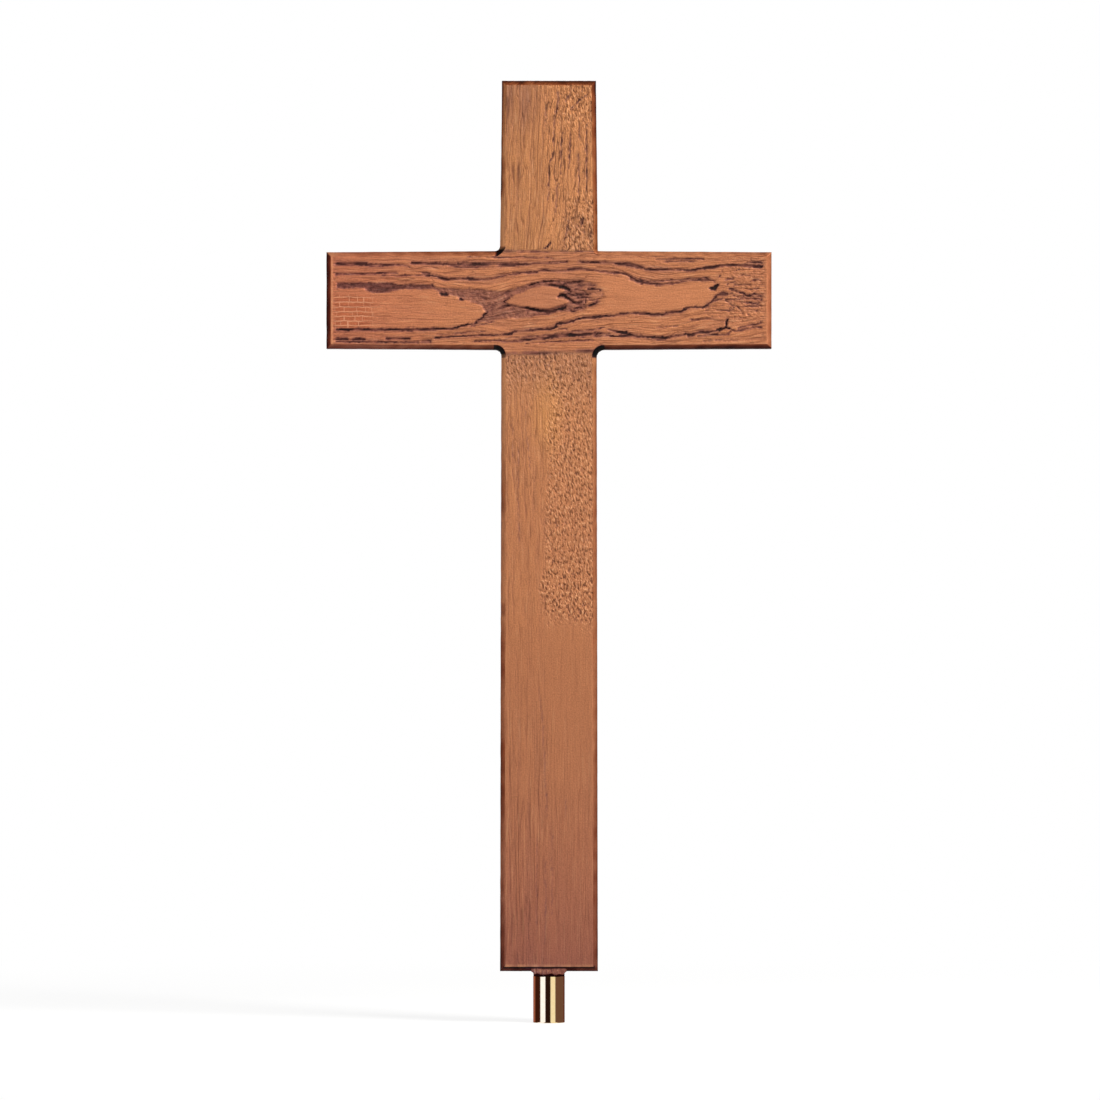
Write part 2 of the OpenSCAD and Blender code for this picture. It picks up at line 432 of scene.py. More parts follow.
PIN_RADIUS, SHOULDER, SPIGOT_RADIUS, PIN_TOP = pin_sizes()
PAD_ROWS = [0, 0.12, 0.35, 0.7, 1.05, 1.4, 1.75, 2.0, 2.3, 2.6, 2.9, 3.2, 3.5, 4.2, 5.0]


def turned_faces(rows, around):
    """Faces round rows of points, closed by the first and the last point on the axis."""
    i = np.arange(around)
    j = (i + 1) % around
    first, last = 0 * i, rows * around + 1 + 0 * i
    top = 1 + (rows - 1) * around
    faces = [quads(first, 1 + j, 1 + i, 1 + i), quads(top + i, top + j, last, last)]
    for a in range(1, top, around):
        faces.append(quads(a + i, a + j, a + around + j, a + around + i))
    return np.vstack(faces)


def pad_shell():
    """The cast pad between the foot and the pin, as a closed shell of rounded oblongs."""
    around, rows = 120, []
    turn = np.linspace(0, math.tau, around, endpoint=False)
    dx, dy = np.cos(turn), np.sin(turn)
    top = FOOT_Z + PAD_RISE
    heights = [SHOULDER + h for h in PAD_ROWS if SHOULDER + h < top] + [top]
    for z in heights:
        flare = PAD_FLARE * float(smoothstep(FOOT_Z - PAD_FLARE - 0.3, FOOT_Z + 0.1, z)) ** 1.6
        tuck = 0.35 * math.exp(-(z - SHOULDER) / 0.18)
        w, d = PIN_RADIUS + flare - tuck, DEPTH / 2 - PAD_SETBACK - tuck
        reach = 1 / np.maximum(np.abs(dx) / w, np.abs(dy) / d)
        x, y = dx * reach, dy * reach
        inner_x, inner_y = w - PAD_CORNER, d - PAD_CORNER
        cx, cy = np.clip(x, -inner_x, inner_x), np.clip(y, -inner_y, inner_y)
        out = np.maximum(np.hypot(x - cx, y - cy), 1e-6)
        round_off = np.minimum(PAD_CORNER / out, 1)
        rows.append(np.stack([cx + (x - cx) * round_off, cy + (y - cy) * round_off,
                              np.full(around, z)], axis=1))
    points = np.vstack([[[0, 0, heights[0]]], *rows, [[0, 0, top]]])
    return points, turned_faces(len(rows), around)


def mesh_object(name, points, faces):
    """A smooth-shaded object from points in mm. A face that repeats its last corner
    is a triangle."""
    mesh = bpy.data.meshes.new(name)
    corners = [list(f[:3]) if f[2] == f[3] else list(f) for f in faces.tolist()]
    mesh.from_pydata((points * MM).tolist(), [], corners)
    mesh.update()
    mesh.shade_smooth()
    return show(bpy.data.objects.new(name, mesh))


# ---------------------------------------------------------------- the grain, drawn from listed points
# Points on the crossbar are [along, across], percent from its centre to the edge of
# the grain; a third number is the line's width in mm.
BAR_LINES = [
    # the upper line, from the left end to the right
    [(-99, 83, 2.4), (-92, 83, 2.2), (-85, 82, 2.4)],
    [(-86, 80, 1.6), (-79, 80, 2.2), (-73, 80, 1.8)],
    [(-73, 81, 0.9), (-69, 80, 1.1), (-65, 77, 0.7)],
    [(-64, 85, 1.0), (-56, 84, 1.8), (-47, 82, 1.6), (-36, 82, 2.8), (-25, 81, 2.6),
     (-13, 82, 2.0), (-7, 84, 1.2), (8, 87, 0.9)],
    [(-47, 78, 0.8), (-38, 75, 1.3), (-32, 76, 0.8)],
    [(14, 88, 1.0), (23, 87, 1.2), (29, 86, 1.0), (31, 84, 1.7), (37, 81, 2.4),
     (41, 77, 2.0), (44, 74, 1.0)],
    [(45, 71, 1.4), (50, 70, 1.8), (54, 70, 2.0), (58, 70, 1.2), (61, 70, 1.4), (65, 68, 1.0)],
    [(62, 69, 0.8), (66, 68, 1.6), (73, 74, 1.6), (77, 75, 1.5), (80, 79, 1.4),
     (85, 80, 1.6), (89, 80, 1.4), (94, 78, 1.8), (99, 77, 2.0)],
    [(91, 84, 0.9), (95, 87, 1.3), (99, 86, 1.2)],
    [(50, 93, 0.8), (61, 94, 1.0), (72, 94, 0.6)],
    [(53, 89, 0.6), (60, 89, 0.8), (68, 89, 0.6)],
    [(-38, 98, 0.6), (-20, 98, 1.0), (-3, 97, 0.8), (2, 95, 0.6)],
    # the second line
    [(-99, 59, 1.4), (-87, 60, 1.1), (-76, 62, 1.3), (-71, 62, 0.9)],
    [(-78, 57, 0.6), (-70, 56, 0.9), (-63, 57, 0.7)],
    [(-59, 62, 1.3), (-56, 61, 1.3)],
    [(-62, 57, 0.8), (-53, 55, 1.3), (-49, 48, 2.0), (-46, 48, 1.3)],
    [(-46, 49, 0.9), (-36, 48, 1.7), (-32, 47, 1.1), (-26, 49, 1.2), (-23, 54, 1.0),
     (-16, 60, 1.2), (-13, 63, 1.1), (-6, 64, 1.0), (-3, 69, 1.3), (4, 67, 1.1),
     (8, 68, 1.2), (10, 70, 1.2), (14, 72, 1.5), (19, 69, 1.2), (24, 66, 1.0),
     (29, 63, 1.2), (31, 62, 2.0), (34, 61, 1.2), (37, 56, 1.9), (39, 49, 2.0),
     (43, 41, 2.2), (46, 39, 1.6), (51, 36, 2.2), (56, 37, 1.6), (62, 42, 1.1),
     (68, 46, 1.0), (75, 46, 1.1), (77, 42, 1.0)],
    [(-24, 58, 0.6), (-20, 60, 0.9), (-15, 62, 0.6)],
    [(42, 48, 0.8), (46, 45, 0.9), (52, 44, 0.8), (60, 47, 0.8), (68, 50, 0.7), (74, 50, 0.8)],
    # the foot of the left island, and the short lines below it
    [(-99, -67, 1.7), (-91, -67, 2.0), (-78, -67, 1.6), (-64, -67, 2.3), (-57, -66, 1.9),
     (-45, -64, 1.5), (-40, -58, 1.4), (-35, -52, 1.2), (-32, -42, 1.1), (-29, -28, 0.9)],
    [(-37, -61, 0.6), (-31, -55, 0.9), (-26, -48, 0.6)],
    [(-99, -88, 1.4), (-94, -89, 1.5)],
    [(-92, -89, 1.2), (-86, -89, 1.4)],
    [(-99, -95, 1.5), (-85, -95, 1.2), (-74, -96, 1.0), (-62, -96, 1.2)],
    [(-65, -96, 1.3), (-61, -96, 1.7)],
    [(-59, -94, 1.4), (-55, -94, 1.9)],
    [(-76, -87, 0.9), (-70, -88, 1.3), (-65, -88, 0.9)],
    # the line below the eye
    [(-54, -87, 0.8), (-45, -83, 1.0), (-32, -80, 1.1), (-25, -79, 1.0), (-19, -77, 1.2),
     (-16, -72, 1.6), (-11, -69, 1.3), (-4, -66, 1.2), (1, -65, 1.8), (3, -60, 1.2),
     (4, -54, 1.6), (7, -52, 1.8), (10, -49, 1.3), (13, -44, 1.3), (16, -40, 1.6),
     (20, -40, 1.4), (23, -37, 1.7), (27, -36, 1.1), (31, -34, 1.4), (37, -30, 1.0),
     (42, -30, 1.5), (50, -33, 1.6), (57, -29, 1.4), (62, -24, 1.3), (65, -17, 1.7),
     (69, -16, 1.0), (72, -16, 1.3), (75, -7, 1.5), (77, 3, 1.5), (79, 14, 1.0)],
    [(4, -66, 0.8), (9, -65, 0.8)],
    # the lowest line
    [(-22, -95, 0.8), (-16, -93, 1.2), (-8, -89, 1.4), (-2, -86, 1.8), (3, -82, 2.2),
     (8, -79, 2.3), (15, -79, 2.2), (22, -75, 1.5), (28, -77, 0.8)],
    [(29, -82, 0.7), (36, -80, 1.1), (43, -80, 0.8)],
    [(-35, -93, 0.6), (-25, -92, 0.9), (-12, -95, 0.6)],
    [(-10, -99, 0.7), (0, -96, 1.0), (10, -92, 1.0), (20, -91, 0.7)],
    [(10, -72, 0.5), (18, -69, 0.8), (26, -62, 0.6)],
    [(-52, -78, 0.5), (-42, -75, 0.8), (-30, -71, 0.6)],
    [(27, -67, 0.8), (30, -70, 1.6), (34, -74, 1.6), (37, -76, 1.4), (40, -81, 1.4)],
    [(15, -84, 0.7), (24, -81, 0.9), (37, -83, 1.2), (41, -82, 1.6), (46, -84, 1.3),
     (52, -87, 2.2), (57, -84, 1.6), (62, -79, 1.3), (65, -77, 0.8)],
    [(65, -81, 1.6), (68, -77, 2.0), (71, -73, 1.8), (74, -74, 1.6), (78, -69, 1.2)],
    [(69, -83, 0.8), (74, -79, 1.2), (78, -78, 1.2), (82, -79, 1.1), (85, -71, 1.0)],
    [(72, -94, 0.5), (80, -91, 0.6), (88, -92, 0.5)],
    [(-22, -88, 0.5), (-6, -82, 0.7), (6, -76, 0.5)],
    # the edges of the eye
    [(-20.5, -3, 0.9), (-19, 4, 0.7), (-17.6, 9, 0.5)],
    [(-9, 34, 0.5), (-5, 41, 0.8), (0, 44, 0.9), (5, 43, 0.6)],
    [(7, 38, 0.6), (11, 41, 1.1), (16, 44, 0.9)],
    [(-0.6, 35, 0.9), (2, 34, 1.1), (4.5, 32, 1.5), (7, 29, 2.2), (9.2, 24, 1.9)],
    [(4.2, 8, 1.8), (6, 13, 2.0), (8, 7, 1.5), (10.4, -1, 1.4), (12.8, -8, 1.8),
     (15, -4, 1.0)],
    [(-14, -14, 0.7), (-9, -19, 1.0), (-3, -25, 1.6), (1, -25, 1.5), (5, -20, 1.5),
     (8, -17, 0.9)],
    [(-21, -14, 0.7), (-18, -11, 0.9), (-15, -13, 0.6)],
    [(18.6, 25.5, 1.3), (20.5, 26, 1.6), (22, 24, 1.0), (24.3, 23, 0.8)],
    [(19, -12, 1.2), (20.5, -9, 1.7), (23, -2, 0.9)],
    [(10, 20, 0.5), (13, 24, 0.7), (16, 22, 0.5)],
    [(13, 5, 0.5), (16, 7, 0.8), (19, 5, 0.5)],
    [(16, -10, 0.6), (17, -4, 0.8), (17.5, 2, 0.6)],
    [(8, 17, 0.6), (11, 11, 0.8), (14, 9, 0.5)],
    [(24.5, 12, 0.6), (25.5, 15, 0.7)],
    [(9, -23, 0.7), (12, -27, 0.9)],
    [(12, -19, 0.7), (15, -16, 0.9)],
    [(12, 15, 0.6), (16, 12, 0.9), (20, 15, 0.5)],
    [(14, 35, 0.6), (18, 33, 0.8), (22, 35, 0.5)],
    [(17, 3, 0.6), (20, 1, 0.8), (24, 4, 0.5)],
    # the whorl at the right end
    [(86.5, 23, 1.0), (88.5, 18.5, 0.8), (90.5, 17, 1.2), (92.5, 10.5, 1.6),
     (94.8, 12, 1.2), (96.3, 14.5, 2.2), (98, 10, 1.2), (99.5, 11, 1.4)],
    [(88, -4, 0.6), (93, -6, 0.9), (98, -8, 0.6)],
    [(90, -14, 0.5), (95, -14, 0.9), (99, -13, 0.8)],
    [(92, -22, 0.5), (97, -24, 0.7)],
    [(86, 33, 0.5), (90, 37, 0.8), (94, 34, 0.5)],
    [(91, 28, 0.5), (94, 25, 0.7), (98, 27, 0.5)],
    [(79, 52, 0.6), (79.6, 56, 0.9)],
    [(80, 65, 0.7), (80.6, 68, 0.7)],
    [(87.4, 65, 0.6), (88.2, 70, 0.9)],
    [(88, 54, 0.5), (91, 57, 0.7), (95, 55, 0.5)],
    [(83, 36, 0.6), (85, 41, 0.8), (87, 41, 0.5)],
    [(94, 44, 0.5), (97, 47, 0.7), (99, 45, 0.5)],
    [(86, 10, 0.5), (90, 7, 0.6), (93, 3, 0.5)],
    [(84, 14, 0.6), (86, 16, 0.7)],
    [(90, -30, 0.5), (94, -33, 0.6)],
    [(76, -36, 0.4), (83, -37, 0.6), (90, -40, 0.5)],
    [(76, -3, 1.0), (81, 4, 0.9), (84, 1, 0.8), (89, 3, 0.8), (94, 4, 1.0), (99, 3, 1.3)],
    [(82, 0, 0.6), (85, -9, 0.7), (88, -16, 0.8), (90, -24, 0.6)],
    [(73, -23, 0.5), (80, -21, 0.7), (84, -25, 0.9)],
    [(73, -18, 0.5), (77, -13, 0.6), (82, -13, 0.5)],
    [(82, 45, 0.8), (84, 48, 1.1), (86, 50, 0.7)],
    [(85.3, -13.6, 0.5), (86.2, -18.3, 0.5), (85.3, -23, 0.5), (84.3, -18.3, 0.5),
     (85.3, -13.6, 0.5)],
    [(86, -70, 1.0), (92, -66, 1.2), (96, -61, 1.0), (99, -63, 0.9)],
    [(88, -64, 0.8), (93, -57, 1.0), (97, -55, 1.0), (99, -50, 1.3)],
    [(65, -47, 0.5), (72, -42, 0.7), (80, -40, 0.5)],
    [(50, -62, 0.5), (55, -61, 0.7), (60, -59, 0.5)],
]
# Closed outlines on the crossbar, [along, across].
BLACK_SPOTS = [
    [(74.0, 28), (75.7, 22.8), (77.8, 23.6), (79.5, 35.5), (78.4, 38.6), (76.8, 32),
     (75.2, 30)],
    [(82.4, -43), (83.5, -43), (83.3, -56), (83.4, -61), (86.4, -67), (86, -69),
     (84, -67), (82.3, -63.5), (81, -69), (79, -71), (78, -67.5), (79.5, -64.5),
     (82.2, -61)],
    [(-42, 5.5), (-40.5, 3), (-38.8, 0.5), (-39.4, -1.5), (-41.5, 1)],
]
DARK_SPOTS = [
    [(79.2, 18), (81, 20), (83.4, 17), (83, 11), (80.5, 9), (79, 12)],
    [(83.7, 28), (86.4, 26), (86, 23), (84, 24)],
    [(-51, 18), (-48.5, 16), (-46.8, 13.5), (-47.3, 8.5), (-49.6, 9.5)],
]
SUNK_BAND = [(-99, 40), (-85, 40), (-73, 40), (-70, 35), (-54, 36), (-52, 29), (-40, 26),
             (-32, 25), (-25, 21), (-20, 21), (-15.5, 27), (-10.6, 36), (-6, 43), (-1.6, 46),
             (4, 46), (10, 45), (16, 46), (20, 39), (24, 30), (26, 20), (24, 8),
             (25, 0), (23, -8), (19, -14), (16, -22), (12, -27), (7, -26), (3, -30),
             (-2, -35), (-8, -37), (-13, -40), (-20, -42), (-26, -46), (-32, -51),
             (-36, -59), (-34, -50), (-31, -40), (-29.8, -28), (-30.7, -14), (-32, -10),
             (-36, -5), (-39.6, 0.7), (-42, 4), (-43.3, 10), (-47, 13), (-47.5, 9),
             (-50, 11), (-51.3, 20), (-54, 25), (-69, 25), (-73, 22), (-75, 18),
             (-83, 18), (-84, 22), (-87.5, 29), (-99, 27)]
EYE = [(-20, -4), (-18, 6), (-14.2, 15), (-10, 24), (-5.8, 30), (-2.8, 33), (0, 32),
       (4, 29), (7.5, 24), (6.5, 17), (4, 10), (4.2, 5), (7, 4), (9.7, -5), (8, -7),
       (4, -13), (2, -17), (-1, -21), (-6, -19), (-10.5, -15), (-15, -13), (-18, -10)]
LEFT_ISLAND = [(-99, 26), (-88, 28), (-84, 20), (-75, 17), (-69, 24), (-54, 24), (-50, 10),
               (-43, 8), (-36, -6), (-30.7, -15), (-30, -28), (-35, -51), (-45, -63),
               (-64, -66), (-99, -66)]
RIGHT_ISLAND = [(25, 58), (31, 58), (36, 50), (43, 38), (51, 33), (62, 39), (76, 44),
                (79, 28), (77, 6), (72, -12), (62, -21), (50, -30), (42, -27), (31, -31),
                (20, -36), (20, -20), (25, -6), (26, 10), (27, 24), (22, 44)]
# Height guides for the flow of the fine grain, [along, across].
GUIDES = [
    [(-100, -113), (100, -113)],
    [(-100, -91), (-57, -91), (-34, -84), (-19, -85), (-9, -90), (0, -84), (19, -77),
     (28, -73), (39, -81), (52, -87), (70, -74), (84, -69), (100, -50)],
    [(-100, -68), (-44, -66), (-32, -60), (-18, -72), (-2, -66), (4, -58), (15, -42),
     (35, -34), (42, -28), (49, -33), (63, -24), (73, -14), (85, -18), (100, -22)],
    [(-100, -11), (-60, -13), (-29, -27), (-20, -9), (-4, 5), (10, 0), (24, 5), (47, 3),
     (70, 12), (78, 20), (89, 12), (100, 10)],
    [(-100, 57), (-57, 57), (-48, 47), (-28, 47), (-14, 62), (19, 68), (28, 65),
     (36, 56), (42, 42), (50, 36), (61, 39), (76, 47), (84, 44), (100, 44)],
    [(-100, 83), (-47, 82), (-13, 81), (8, 86), (22, 89), (31, 85), (43, 74), (56, 67),
     (70, 73), (87, 79), (100, 79)],
    [(-100, 113), (100, 113)],
]
# Points on the upper arm are [mm right of centre, mm above the crossbar, width].
TOP_CRACKS = [
    [(5.6, 107, 0.7), (6.0, 100, 1.3), (3.9, 90, 0.9), (3.5, 80, 1.1), (3.1, 71, 0.6)],
    [(3.1, 66, 1.5), (1.6, 62, 0.8), (0.3, 58, 1.0), (0.0, 46, 0.8), (-0.5, 34, 0.7)],
    [(9.2, 80, 0.6), (8.5, 73, 1.2), (8.0, 61, 1.0), (8.0, 52, 0.6)],
    [(14.5, 79, 0.6), (14.1, 66, 1.0), (13.3, 55, 0.6)],
    [(20.2, 86, 0.6), (20.7, 76, 0.7)],
    [(19.5, 65, 0.6), (20.2, 51, 0.9), (19.5, 37, 0.6)],
    [(25.6, 86, 0.6), (25.2, 73, 1.1), (25.2, 61, 1.1), (25.6, 49, 1.2), (25.2, 40, 0.7)],
    [(5.6, 45, 0.6), (5.2, 34, 1.0), (4.7, 26, 0.6)],
    [(25.0, 105, 0.6), (20.0, 101, 1.2), (17.0, 98, 0.7), (15.0, 96, 1.0)],
    [(-2.4, 96, 0.5), (-2.2, 90, 0.9), (-2.8, 84, 0.5)],
    [(13.0, 104, 1.6), (11.5, 101, 1.2)],
    [(23.0, 22, 1.4), (22.0, 18, 1.6)],
    [(13.0, 20, 0.7), (12.0, 12, 0.9), (10.5, 7, 0.6)],
]
TOP_SOFT = [
    [(-20.5, 70, 0.9), (-21.2, 35, 1.0), (-20.9, 12, 0.6)],
    [(-14.6, 100, 0.6), (-16, 76, 1.0), (-18, 58, 0.9), (-19.6, 36, 0.6)],
    [(-5.4, 57, 0.6), (-7.4, 36, 0.9), (-9.4, 16, 0.6)],
    [(-11.5, 88, 0.6), (-12.5, 60, 0.8), (-13.0, 30, 0.6)],
    [(-25.0, 60, 0.6), (-25.6, 30, 0.9), (-25.0, 8, 0.6)],
    [(-22.0, 98, 0.6), (-23.4, 86, 1.1), (-24.4, 76, 0.6)],
]
TOP_BLACK = [[(1.1, 6.4), (1.6, 5.6), (0.1, 3.2), (-2.0, 1.6), (-3.4, 1.8), (-2.0, 2.8),
              (-0.6, 4.2)]]
# Points on the post are [mm right of centre, mm below the crossbar, width].
POST_CRACKS = [
    [(-6.7, 228, 0.5), (-4.8, 246, 0.8), (-3.8, 264, 0.7), (-2.9, 275, 0.7),
     (-2.7, 290, 0.6), (-1.6, 301, 0.9), (-1.6, 314, 0.5)],
    [(11.3, 303, 0.4), (11.3, 315, 0.6)],
    [(-24.2, 44, 0.5), (-24.6, 62, 0.8), (-24.0, 88, 0.5)],
    [(-16.3, 38, 0.5), (-15.0, 58, 0.8), (-12.8, 80, 0.5)],
    [(-20.0, 60, 0.4), (-20.6, 90, 0.6), (-20.2, 130, 0.4)],
    [(-8.0, 330, 0.4), (-8.4, 362, 0.6), (-8.0, 395, 0.4)],
    [(-2.5, 345, 0.4), (-2.2, 372, 0.6), (-2.8, 400, 0.4)],
    [(2.0, 322, 0.4), (2.2, 350, 0.5), (1.8, 380, 0.4)],
]
JOINT_SLOPE = 2.4       # how far the lower joint line falls towards the left
# Dark wear and painted shade on the chamfers, by which way they face, [mm along the edge, how much
# of it]: away from the crossbar on the post and the upper arm, from the centre line on the
# crossbar.
POST_LEFT_WEAR_AND_SHADE = [(0, 0.0), (60, 0.0), (78, 0.17), (98, 0.44), (120, 0.17), (185, 0.15),
                  (197, 0.60), (217, 0.62), (232, 0.17), (252, 0.30), (268, 0.60),
                  (300, 0.75), (322, 0.45), (345, 0.25), (372, 0.45), (400, 0.75),
                  (412, 0.90)]
POST_RIGHT_WEAR_AND_SHADE = [(0, 0.28), (10, 0.32), (200, 0.34), (300, 0.43), (400, 0.58)]
ARM_LEFT_WEAR_AND_SHADE = [(0, 0.0), (30, 0.0), (38, 0.30), (55, 0.30), (70, 0.08), (112, 0.20)]
ARM_RIGHT_WEAR_AND_SHADE = [(0, 0.58), (60, 0.62), (90, 0.80), (112, 1.02)]
BAR_UNDER_WEAR_AND_SHADE = [(-150, 0.60), (-112, 0.52), (-100, 0.56), (-85, 0.68), (-35, 0.78),
                  (35, 0.75), (110, 0.90), (150, 0.95)]
BAR_UNDER_LIP = [(-150, 0.35), (-105, 0.25), (-85, 0.45), (150, 0.45)]
BAR_OVER_WEAR_AND_SHADE = [(-150, 0.12), (-120, 0.26), (-40, 0.42), (-34, 0.42), (34, 0.12),
                 (150, 0.12)]
# The slot across the upper left inner corner, cut in and painted black as shade, from the cross's
# centre line and the crossbar's middle.
CORNER_SLOT = [(-30.4, 35.2, 1.5), (-33.0, 32.6, 2.0), (-35.6, 30.0, 1.4)]
# Nicks in the post's left edge: from and to, in mm below the crossbar, and how deep.
POST_NICKS = [(76, 110, 0.30), (169, 181, 0.50), (229, 236, 0.30)]


def smooth_curve(points, steps=6):
    """A curve through all the points, as an array."""
    p = np.array(points, dtype=float)
    p = np.vstack([p[:1], p, p[-1:]])
    out = []
    for i in range(1, len(p) - 2):
        a, b, c, d = p[i - 1:i + 3]
        for t in np.linspace(0, 1, steps, endpoint=False):
            out.append((2 * b + (c - a) * t + (2 * a - 5 * b + 4 * c - d) * t * t
                        + (3 * b - a - 3 * c + d) * t ** 3) / 2)
    out.append(p[-2])
    return np.array(out)


def beside(x, z, a, b):
    """How far each point lies from the stretch from a to b, and its share along it."""
    step = b[:2] - a[:2]
    length = max(step @ step, 1e-9)
    t = np.clip(((x - a[0]) * step[0] + (z - a[1]) * step[1]) / length, 0, 1)
    return np.hypot(x - a[0] - t * step[0], z - a[1] - t * step[1]), t


def groove(x, z, curve, soft):
    """How deep each point lies in a groove along the curve: 1 on its floor, 0 outside."""
    depth, margin = np.zeros(len(x)), 4
    close = ((x > curve[:, 0].min() - margin) & (x < curve[:, 0].max() + margin)
             & (z > curve[:, 1].min() - margin) & (z < curve[:, 1].max() + margin))
    best = np.full(np.count_nonzero(close), -1e9)
    for a, b in zip(curve[:-1], curve[1:]):
        gap, t = beside(x[close], z[close], a, b)
        best = np.maximum(best, (a[2] + (b[2] - a[2]) * t) / 2 - gap)
    depth[close] = smoothstep(-soft, soft, best)
    return depth


def inside(x, z, outline, low, high):
    """0 outside a closed outline and 1 inside it, rising from low to high mm within."""
    curve = np.array(outline, dtype=float)
    gap = np.full(len(x), 1e9)
    within = np.zeros(len(x), dtype=bool)
    for a, b in zip(curve, np.roll(curve, -1, axis=0)):
        gap = np.minimum(gap, beside(x, z, a, b)[0])
        rise = b[1] - a[1] if abs(b[1] - a[1]) > 1e-9 else 1e-9
        within ^= (((a[1] > z) != (b[1] > z))
                   & (x < a[0] + (z - a[1]) / rise * (b[0] - a[0])))
    return smoothstep(low, high, np.where(within, gap, -gap))


def wobble(x, z, seed, size):
    """A cheap smooth random value, about -1 to 1, from a few crossed waves."""
    rng = np.random.default_rng(seed)
    total = np.zeros(len(x))
    for _ in range(7):
        angle, phase = rng.uniform(0, math.tau, 2)
        rate = rng.uniform(0.6, 1.6) * math.tau / size
        total += np.sin((x * math.cos(angle) + z * math.sin(angle)) * rate + phase)
    return total / 3.2


# One percent along the crossbar's drawn grain, and one across it, in mm.
BAR_ALONG = (SPAN_HALF - CHAMFER - GRAIN_END) / 100
BAR_ACROSS = GRAIN_HALF / 100


def on_bar(points):
    p = np.array(points, dtype=float)
    p[:, 0] *= BAR_ALONG
    p[:, 1] *= BAR_ACROSS
    return p


def flow(x, z):
    """The fine grain's own height on the crossbar: it is level along every guide."""
    curves = [on_bar(guide) for guide in GUIDES]
    heights = np.stack([np.interp(x, c[:, 0], c[:, 1]) for c in curves])
    levels = [c[:, 1].mean() for c in curves]
    result = np.full(len(x), levels[0])
    for low, high, a, b in zip(heights[:-1], heights[1:], levels[:-1], levels[1:]):
        share = (z - low) / (high - low)
        result = np.where(z >= low, a + (b - a) * np.clip(share, 0, 1), result)
    return result + np.minimum(z - heights[0], 0) + np.maximum(z - heights[-1], 0)


class Surface:
    """Where each point of the cross lies, which way it faces, and on which part it is."""

    def __init__(self, piece, points, on_pad):
        self.count, self.on_pad = len(points), on_pad
        self.x, self.y, self.z = points.T
        normal = np.zeros(self.count * 3)
        piece.data.vertices.foreach_get("normal", normal)
        self.normal = normal.reshape(-1, 3)
        self.right, _, self.up = np.clip(self.normal, 0, 1).T
        self.left, _, self.down = np.clip(-self.normal, 0, 1).T
        self.front = smoothstep(0.86, 0.985, -self.normal[:, 1])
        self.back = smoothstep(0.86, 0.985, self.normal[:, 1])
        self.lean = smoothstep(0.02, 0.45, 1 - np.maximum(self.front, self.back))
        self.behind = self.y - FRONT_Y                  # behind the front face
        self.rise = self.z - BAR_Z                      # over the crossbar's middle
        self.above, self.below = self.rise - BAR_HALF, -self.rise - BAR_HALF
        self.joint = -BAR_HALF - 0.9 - JOINT_SLOPE * (0.5 - self.x / (2 * POST_HALF))
        self.between = np.abs(self.x) < POST_HALF + 1
        self.is_bar = ~self.between | ((self.rise > self.joint) & (self.above < -0.2))
        self.on_top = ~self.is_bar & (self.rise > 0)
        self.on_post = ~self.is_bar & (self.rise < 0)

    def seen(self, area):
        """The points of an area that are on the front."""
        return np.flatnonzero(area & (self.front > 0))


class Drawing:
    """What is drawn on the cross: how deep it is cut, in mm, and how dark, 0 to 1."""

    def __init__(self, count):
        self.cut, self.dark = np.zeros(count), np.zeros(count)

    def press(self, hit, depth, shade, where=slice(None)):
        self.cut[where] = np.maximum(self.cut[where], depth * hit)
        self.darken(shade * hit, where)

    def darken(self, shade, where=slice(None)):
        self.dark[where] = np.maximum(self.dark[where], shade)


def draw_bar(at, drawing):
    """Draws the crossbar's grain, and says how much each point lies in its sunk band and
    on its smooth islands."""
    bar = at.seen(at.is_bar)
    x, z = at.x[bar], at.rise[bar]
    share = x / BAR_ALONG
    jx = x + 0.6 * wobble(x / 3, z, 11, 4) + 0.25 * wobble(x, z, 13, 3)
    jz = (z + 0.30 * wobble(x / 4, z, 12, 3.2) + 0.20 * wobble(x / 2, z, 14, 1.9)
          + 0.12 * wobble(x, z, 15, 1.7))
    patchy = 0.9 + 0.42 * wobble(x / 3, z, 16, 4)
    smoke = np.zeros(len(bar))
    for line in BAR_LINES:
        curve = smooth_curve(on_bar(line))
        hit = groove(jx, jz, curve, soft=0.34)
        width = curve[:, 2].max()
        ease = 0.86 if curve[:, 1].mean() > 14 or curve[:, 0].mean() > 118 else 1.0
        shade = ease * np.clip(0.30 + 0.28 * width, 0, 0.80) * patchy
        drawing.press(hit, LINE_CUT, np.clip(shade, 0, 0.95 * ease), bar)
        # a soft smoky shade, wider than the line
        curve[:, 2] = curve[:, 2] * 1.5 + 0.9
        halo = groove(jx, jz, curve, soft=1.3)
        smoke = np.maximum(smoke, halo * np.clip(width / 2.4, 0.25, 1))
    band = inside(jx, jz, on_bar(SUNK_BAND), -0.5, 0.6)
    eye = inside(jx, jz, on_bar(EYE), -0.4, 0.3)
    smooth = np.maximum.reduce([eye, inside(jx, jz, on_bar(LEFT_ISLAND), -0.6, 1.2),
                                inside(jx, jz, on_bar(RIGHT_ISLAND), -0.8, 2.5)])
    fade = np.maximum(fades(9, 27, share + 5 * wobble(x / 3, z, 17, 3.5)),
                      0.25 * fades(24, 30, share))
    sunk, island = np.zeros(at.count), np.zeros(at.count)
    sunk[bar], island[bar] = band * (1 - eye) * fade, smooth
    drawing.cut += BAND_CUT * sunk
    for spots, depth, shade in ((BLACK_SPOTS, 1.3, 1.0), (DARK_SPOTS, 0.9, 0.6)):
        for spot in spots:
            drawing.press(inside(jx, jz, on_bar(spot), -0.35, 0.35), depth, shade, bar)
    for shade in (0.17 * smoke * (1 - smooth), 0.07 * eye,
                  0.20 * band * (1 - eye) * fades(-60, -40, share)):
        drawing.darken(shade, bar)
    return sunk, island


